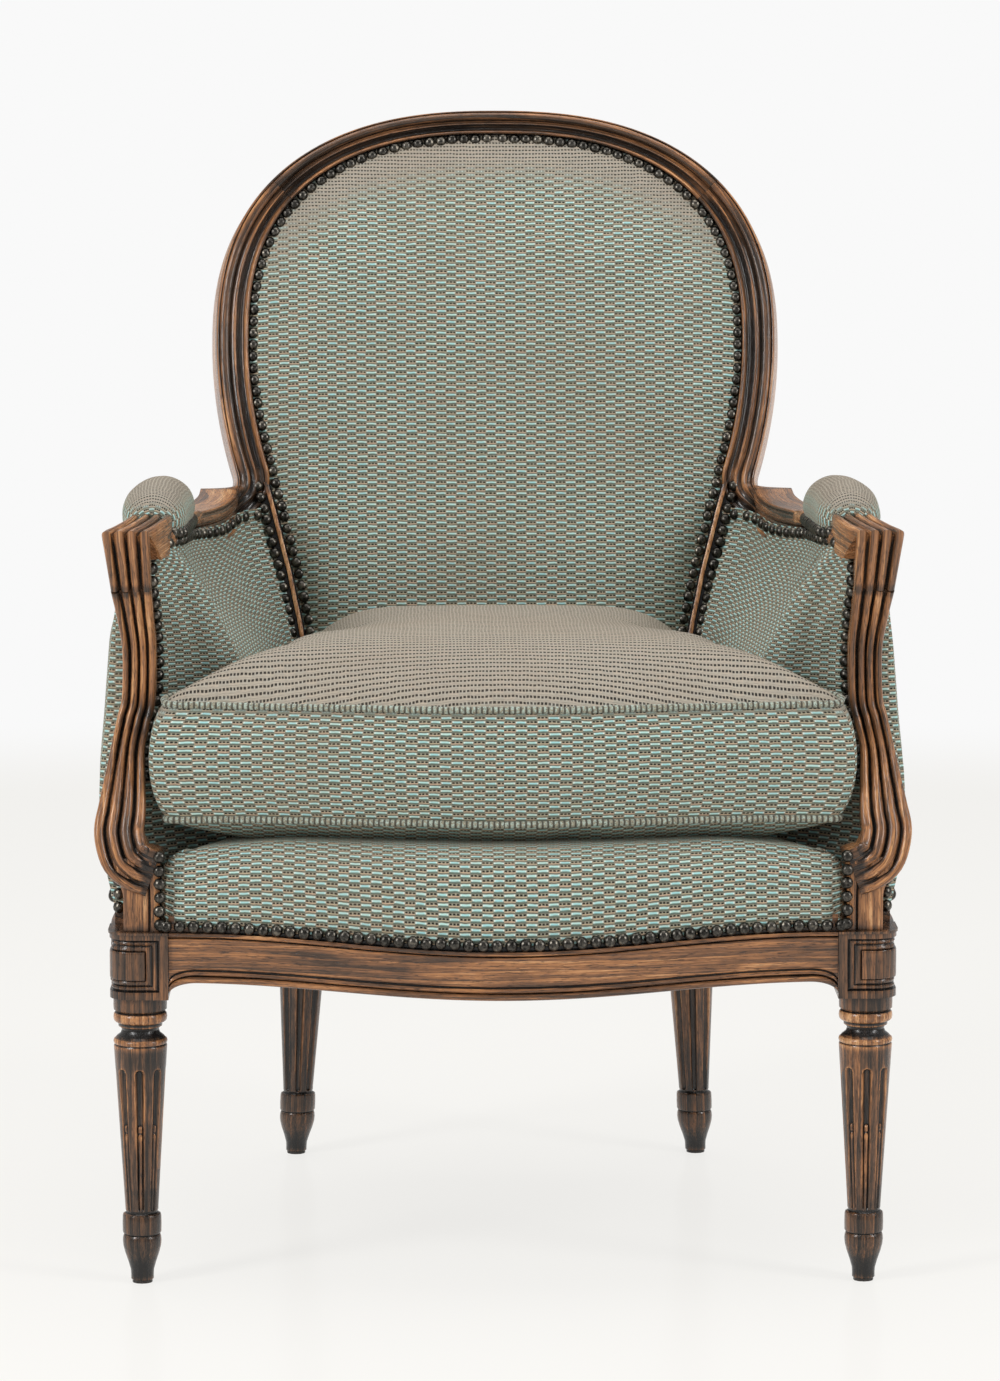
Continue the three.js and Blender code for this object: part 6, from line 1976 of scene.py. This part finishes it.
def inside_grid():
    rows = []
    for t in np.linspace(0.02, 1, 50):
        plan = inside_row(t)
        shares = arm_at(plan[:, 1])
        top = np.interp(-plan[:, 1], -ARM_TABLE[:, 1], ARM_TABLE[:, 2])
        top += np.interp(shares, *np.transpose(INSIDE_TOP))
        rows.append(np.column_stack([plan, lerp(RAIL_HIDDEN_TOP + GAP, top, t)]))
    return np.array(rows)


def inside_arm():
    build = Build()
    rows = inside_grid()
    build.grid(rows, uv=grid_uv(rows))
    return build


# Along the arm pad: shares of its length, width and height.
MANCHETTE_SHARES = [
    (0, 0.42, 0.35), (0.015, 0.66, 0.6), (0.05, 0.82, 0.8), (0.12, 0.95, 0.93), (0.3, 1, 1), (0.6, 1, 1),
    (0.8, 0.94, 0.96), (0.92, 0.82, 0.84), (0.98, 0.62, 0.62), (1, 0.45, 0.4),
]
MANCHETTE_SIZE = (240.0, 57.0, 38.0)
# Across the arm pad: shares of its width and height.
PAD_SECTION = [
    (-0.46, -0.14), (-0.47, 0.02), (-0.5, 0.24), (-0.47, 0.5), (-0.38, 0.74), (-0.2, 0.93), (0, 1),
    (0.2, 0.93), (0.38, 0.74), (0.47, 0.5), (0.5, 0.24), (0.47, 0.02), (0.46, -0.14),
]
PAD_SEAT_SHARE = 0.45
MANCHETTE_START = ARM_FRONT[1] + HEAD_RUN + GAP


def manchette_row(share, section):
    wide, high = at_share(MANCHETTE_SHARES, share)
    t = float(arm_at(MANCHETTE_START + share * MANCHETTE_SIZE[0]))
    station = arm_station(t)
    low = arm_place(t) + station.across * (ARM_HEIGHT * PAD_SEAT_SHARE + GAP)
    return np.array(
        [
            low - station.out * u * wide * MANCHETTE_SIZE[1] + station.across * h * high * MANCHETTE_SIZE[2]
            for u, h in section
        ]
    )


def manchette():
    build = Build()
    section = fine(PAD_SECTION, 4)
    spans = [np.linspace(0, 0.12, 16)[:-1], np.linspace(0.12, 0.85, 34), np.linspace(0.85, 1, 18)[1:]]
    shares = np.concatenate(spans)
    rows = [manchette_row(share, section) for share in shares]
    build.grid(rows, uv=grid_uv(rows))
    for end in (rows[0], rows[-1]):
        half = len(end) // 2
        build.grid([end[:half], end[::-1][:half]], uv=np.zeros((2, half, 2)))
    return build


def open_edges(obj, rounds=1):
    """Which points lie on a cover's open edges, where it is nailed down, or within a few edges of them."""
    ends = read(obj.data.edges, "vertices", 2, int)
    sides = [tuple(sorted(key)) for face in obj.data.polygons for key in face.edge_keys]
    edges, uses = np.unique(sides, axis=0, return_counts=True)
    held = np.zeros(len(obj.data.vertices), dtype=bool)
    held[edges[uses == 1]] = True
    for _ in range(rounds):
        held[ends[held[ends].any(axis=1)]] = True
    return held


def cover_pair(name, build, node, cap, pressure, rubbed=False):
    for obj in make_pair(name, build, WEAVE, node, sharp=SMOOTH_ALL, wear=False, rubbed=rubbed):
        fill_out(obj, cap, pressure, open_edges(obj))
        soften(obj)


def deck_cover():
    obj = make_cover("sprung_deck", seat_deck(), "seat_deck")
    fill_out(obj, 1.5, 1.0, open_edges(obj, 2))
    soften(obj)


# Under the seat

DUST_Z = RAIL_LEDGE - GAP - 4.6
DUST_SAG = 2.5
DUST_RIPPLE = 0.5


def dust_outline():
    """Plan of the dust cover: inside the rails' lips, from the bowed front rail to the rear rail."""
    lip = RAIL_THICK * LIP_SHARE + RAIL_REBATE
    across = np.linspace(0, RAIL_END - RAIL_REBATE, 20)
    front = [(x, FRONT_FACE + RAIL_REBATE - float(front_bow(x)) + lip) for x in across]
    side = [(x - lip * 1.15, y) for x, y in side_points(24)[1:-1]]
    beside_post = REAR_X - REAR_BLOCK / 2 - GAP
    rear = [(beside_post, side[-1][1]), (beside_post, REAR_Y + RAIL_THICK / 2 - lip)]
    half = np.array([*front, (RAIL_END - RAIL_REBATE, side[0][1] + RAIL_REBATE), *side, *rear])
    left = half[1:][::-1] * v(-1, 1)
    return along(np.vstack([half, [(0, half[-1][1])], left]), 220, closed=True)


def dust_cover():
    build = Build()
    outline = dust_outline()
    flat, faces, count = panel(outline, PLAIN_PITCH)
    share = np.clip(radial_share(flat, outline, SEAT_MIDDLE), 0, 1)
    share[:count] = 1
    ripple = np.sin(flat[:, 0] / 9.0 + 2 * np.sin(flat[:, 1] / 60)) * share**4 * (1 - share)
    z = DUST_Z - DUST_SAG * (1 - share**2) + DUST_RIPPLE * ripple * 10
    build.add(np.column_stack([flat, z]), faces, uv=flat)
    obj = make_cover("dust_cloth", build, "dust_cover", CAMBRIC)
    quads(obj)


# Where the nails go


def border(rows, side, inset, first=0.0, last=1.0):
    """A line on a grid of points at a distance inside one of its borders, and where the grid faces there."""
    rows = np.asarray(rows)
    if side == "left":
        rows = rows.transpose(1, 0, 2)
    if side == "top":
        rows = rows[::-1]
    run = np.concatenate(
        [np.zeros((1, rows.shape[1])), np.cumsum(np.linalg.norm(np.diff(rows, axis=0), axis=2), axis=0)]
    )
    line = []
    facing = []
    count = rows.shape[1]
    for c in range(int(first * count), int(last * count)):
        r = min(max(int(np.searchsorted(run[:, c], inset)), 1), len(rows) - 2)
        share = (inset - run[r - 1, c]) / max(run[r, c] - run[r - 1, c], 1e-6)
        line.append(lerp(rows[r - 1, c], rows[r, c], share))
        up = rows[r + 1, c] - rows[r - 1, c]
        along_row = rows[r, min(c + 1, count - 1)] - rows[r, max(c - 1, 0)]
        facing.append(unit(np.cross(up, along_row)))
    return np.array(line), np.array(facing)


def looking(facing, way):
    """Turns facings to the side that looks a given way."""
    sign = np.sign((facing * v(*way)).sum(axis=1, keepdims=True))
    return facing * np.where(sign == 0, 1, sign)


FRONT_NAIL_RISE = 5.6
FRONT_NAIL_PROUD = 2.4


def front_nails():
    build = Build()
    x = np.linspace(-SEAT_HALF + 5, SEAT_HALF - 5, 140)
    bow = front_bow(x)
    z = BLOCK_TOP - RAIL_FACE_DIP * bow / RAIL_BOW + FRONT_NAIL_RISE
    line = np.column_stack([x, FRONT_FACE + RAIL_REBATE - bow - FRONT_NAIL_PROUD, z])
    slope = np.gradient(line[:, 1], x)
    nails(build, line, np.column_stack([slope, -np.ones_like(x), np.full_like(x, 0.1)]))
    return build


# Nails round the back: how far off the moulding, and how far out of the frame on it, inside it and beside it.
NAIL_OFF = 4.6
ARCH_PROUD, INNER_PROUD, OUTER_PROUD = 2.0, 2.4, 2.0
# Rows on the inner arm: a border, its span and a pitch. They lie a distance inside it, and look inwards.
INSIDE_ROWS = [("top", 0.06, 0.98, WIDE_PITCH), ("left", 0.34, 0.97, CLOSE_PITCH)]
INSIDE_ROW_SET = 6.0
INWARDS = (-1, -0.4, 0)
INSIDE_PROUD = 0.4
# Rows on the outer arm: a border, a distance inside it, and its span.
OUTSIDE_ROWS = [("bottom", 6.5, 0.16, 0.98), ("top", 6.0, 0.16, 0.98), ("left", 9.0, 0.02, 0.22)]
# The short row up beside the deck.
BESIDE_DECK_NAILS = 6
BESIDE_DECK_SPAN = (7.0, 64.0)
BESIDE_DECK_SET, BESIDE_DECK_BACK = 18.5, 0.5
BESIDE_DECK_FACING = (-0.15, -1, 0)


def side_nails():
    """The nails of the right half: round the back, round the arm's panels and up beside the deck."""
    build = Build()
    at = [s.at - s.across * (0.5 * s.width + NAIL_OFF) + s.out * ARCH_PROUD for s in ARCH_HALF]
    down = np.linspace(TURN_S - 12, PAD_LOW + 20, 30)
    x = stile_x(down)
    faces = [back_facing(a, b) for a, b in zip(x, down)]
    beside_bead = BEAD_REACH + NAIL_RADIUS
    inner = on_back(x - beside_bead, down, INNER_PROUD)
    nails(build, [*at[1:], *inner], [s.out for s in ARCH_HALF[1:]] + faces, CLOSE_PITCH)
    nails(build, on_back(x + beside_bead, down, OUTER_PROUD), faces, CLOSE_PITCH)

    inside = inside_grid()
    for side, first, last, pitch in INSIDE_ROWS:
        line, facing = border(inside, side, INSIDE_ROW_SET, first, last)
        facing = looking(facing, INWARDS)
        nails(build, line + facing * INSIDE_PROUD, facing, pitch)

    rises = np.linspace(*BESIDE_DECK_SPAN, BESIDE_DECK_NAILS)
    beside = [(LEG_X - BESIDE_DECK_SET, FRONT_FACE + BESIDE_DECK_BACK, BLOCK_TOP + rise) for rise in rises]
    nails(build, beside, [BESIDE_DECK_FACING] * BESIDE_DECK_NAILS, PAD_PITCH)

    outside = outside_grid()
    for side, inset, first, last in OUTSIDE_ROWS:
        line, facing = border(outside, side, inset, first, last)
        nails(build, line, looking(facing, (1, 0, 0)))
    return build


def back_nails():
    build = Build()
    outline = back_outline(OUT_MARGIN + 7, OUT_LOW + 7, False)
    outline = np.vstack([outline, outline[:1]])
    line = on_back(outline[:, 0], outline[:, 1], -BACK_DEPTH - 5.0)
    nails(build, line, -back_facing(outline[:, 0], outline[:, 1]))
    return build


def manchette_nails():
    build = Build()
    shares = np.linspace(0.02, 0.98, 50)
    for side in (-1, 1):
        line = [manchette_row(s, [(side * 0.47, -0.1)])[0] for s in shares]
        places = [MANCHETTE_START + s * MANCHETTE_SIZE[0] for s in shares]
        out = [-arm_station(float(arm_at(y))).out * side for y in places]
        nails(build, line, out, PAD_PITCH)
    return build


def drive_nails():
    options = {"slot": "nail", "sharp": 60.0, "wear": False}
    make_pair("side_nails", side_nails(), NAIL_METAL, **options)
    make("front_nails", front_nails(), NAIL_METAL, **options)
    make("outside_back_nails", back_nails(), NAIL_METAL, **options)
    make_pair("arm_pad_nails", manchette_nails(), NAIL_METAL, **options)


loose_cushion()
deck_cover()
dust_cover()
back_pad()
outside_back()
cover_pair("inside_arm_cover", inside_arm(), "arm_inside", 3.0, 1.5)
cover_pair("outside_arm_cover", outside_arm(), "arm_outside", 2.0, 1.0)
cover_pair("arm_pad", manchette(), "manchette", 2.0, 1.5, rubbed=True)
drive_nails()


# What keeps its CAD mesh


CORNERS = [f"{end}_{{}}_{side}" for end in ("front", "rear") for side in ("right", "left")]
HIDDEN = {
    WOOD: ["rear_rail", "lower_back_rail"] + [corner.format("brace") for corner in CORNERS],
    JUTE: ["seat_webbing", "back_webbing"],
    STEEL: [f"spring_{i}_{j}" for i in (1, 2, 3) for j in (1, 2, 3)],
    NYLON: [corner.format("glide") for corner in CORNERS],
}
for finish, names in HIDDEN.items():
    for node in names:
        for slot in bpy.data.objects[node].material_slots:
            slot.material = finish


# The stage

GLOW_SHARE = 0.78
WALL_NEAR, WALL_FAR = 2.5, 3.3
WORLD_LIGHT = 0.42
BACKDROP = rgb(249, 249, 249)
FLOOR_SIDES, FLOOR_REACH = 96, 40.0
LAMP_AIM = Vector((0, 0, 0.5))
# The camera, matched to the photo: its place in millimetres, its turns in degrees, its focal length and
# the picture's height in pixels, and the height of its sensor in millimetres.
CAMERA_PLACE = v(-61.0, -4530.0, 1100.0)
CAMERA_TILT, CAMERA_TURN = 82.52, -0.737
FOCAL_LENGTH, PICTURE_HEIGHT, SENSOR = 5458.0, 1381.0, 36.0
CAMERA_REACH = 60.0


def seen_rays(s):
    """1 for what the camera sees, straight or in a reflection."""
    path = s.node("ShaderNodeLightPath")
    seen = s.math("MAXIMUM", path.outputs["Is Camera Ray"], path.outputs["Is Glossy Ray"])
    return s.math("MAXIMUM", seen, path.outputs["Is Transmission Ray"])


def floor_material():
    """A pale polished floor: near white to the eye, with the chair's shadow and a faint reflection."""
    s = Shader("pale_floor")
    noise = s.noise(s.position(), 3.0, 2.0)
    s.set(Base_Color=rgb(240, 237, 232), Roughness=s.line(noise, 0.06, 0.16), Specular_IOR_Level=0.5)
    away = s.feed_first(s.node("ShaderNodeVectorMath", operation="LENGTH"), s.position())
    far = s.ease(away.outputs["Value"], WALL_NEAR, WALL_FAR)
    glow = s.feed_named(s.node("ShaderNodeEmission"), Color=s.mix(far, rgb(253, 252, 249), BACKDROP))
    share = s.times(seen_rays(s), s.line(far, 1 - GLOW_SHARE, GLOW_SHARE))
    both = s.feed_first(s.node("ShaderNodeMixShader"), share, s.surface.outputs[0], glow.outputs[0])
    s.feed(s.out.inputs["Surface"], both.outputs[0])
    return s.material


def floor():
    """A round floor that runs far past what any view shows."""
    turns = np.arange(FLOOR_SIDES) / FLOOR_SIDES * 2 * math.pi
    points = [(FLOOR_REACH * math.cos(a), FLOOR_REACH * math.sin(a), 0) for a in turns]
    mesh = bpy.data.meshes.new("floor")
    mesh.from_pydata(points, [], [tuple(range(FLOOR_SIDES))])
    mesh.materials.append(floor_material())
    obj = bpy.data.objects.new("floor", mesh)
    bpy.context.collection.objects.link(obj)


def lamp(name, place, size, power):
    data = bpy.data.lights.new(name, "AREA")
    data.shape = "RECTANGLE"
    data.size, data.size_y = size
    data.energy = power
    obj = bpy.data.objects.new(name, data)
    obj.location = place
    obj.rotation_euler = (LAMP_AIM - Vector(place)).to_track_quat("-Z", "Y").to_euler()
    bpy.context.collection.objects.link(obj)


def world():
    """White to the eye, and a soft even light on the chair."""
    made = bpy.data.worlds.new("studio")
    bpy.context.scene.world = made
    made.use_nodes = True
    tree = made.node_tree
    tree.nodes.clear()
    out = tree.nodes.new("ShaderNodeOutputWorld")
    path = tree.nodes.new("ShaderNodeLightPath")
    seen = tree.nodes.new("ShaderNodeMath")
    seen.operation = "MAXIMUM"
    tree.links.new(path.outputs["Is Camera Ray"], seen.inputs[0])
    tree.links.new(path.outputs["Is Transmission Ray"], seen.inputs[1])
    strength = tree.nodes.new("ShaderNodeMapRange")
    tree.links.new(seen.outputs[0], strength.inputs[0])
    strength.inputs[3].default_value = WORLD_LIGHT
    strength.inputs[4].default_value = 1.0
    glow = tree.nodes.new("ShaderNodeBackground")
    glow.inputs["Color"].default_value = BACKDROP
    tree.links.new(strength.outputs[0], glow.inputs["Strength"])
    tree.links.new(glow.outputs[0], out.inputs[0])


def camera():
    data = bpy.data.cameras.new("camera")
    data.sensor_fit = "AUTO"
    data.sensor_width = SENSOR
    data.lens = FOCAL_LENGTH * SENSOR / PICTURE_HEIGHT
    data.clip_end = CAMERA_REACH
    obj = bpy.data.objects.new("camera", data)
    obj.location = (CAMERA_PLACE + TO_SHARED) * MM
    obj.rotation_euler = (math.radians(CAMERA_TILT), 0.0, math.radians(CAMERA_TURN))
    bpy.context.collection.objects.link(obj)
    bpy.context.scene.camera = obj


floor()
world()
lamp("left_window", (-2.6, -2.2, 2.2), (0.8, 2.0), 76)
lamp("right_window", (2.8, -1.8, 2.0), (0.8, 2.0), 56)
lamp("overhead", (0.0, 0.2, 3.4), (3.0, 2.4), 52)
camera()
bpy.context.scene.view_settings.view_transform = "Standard"
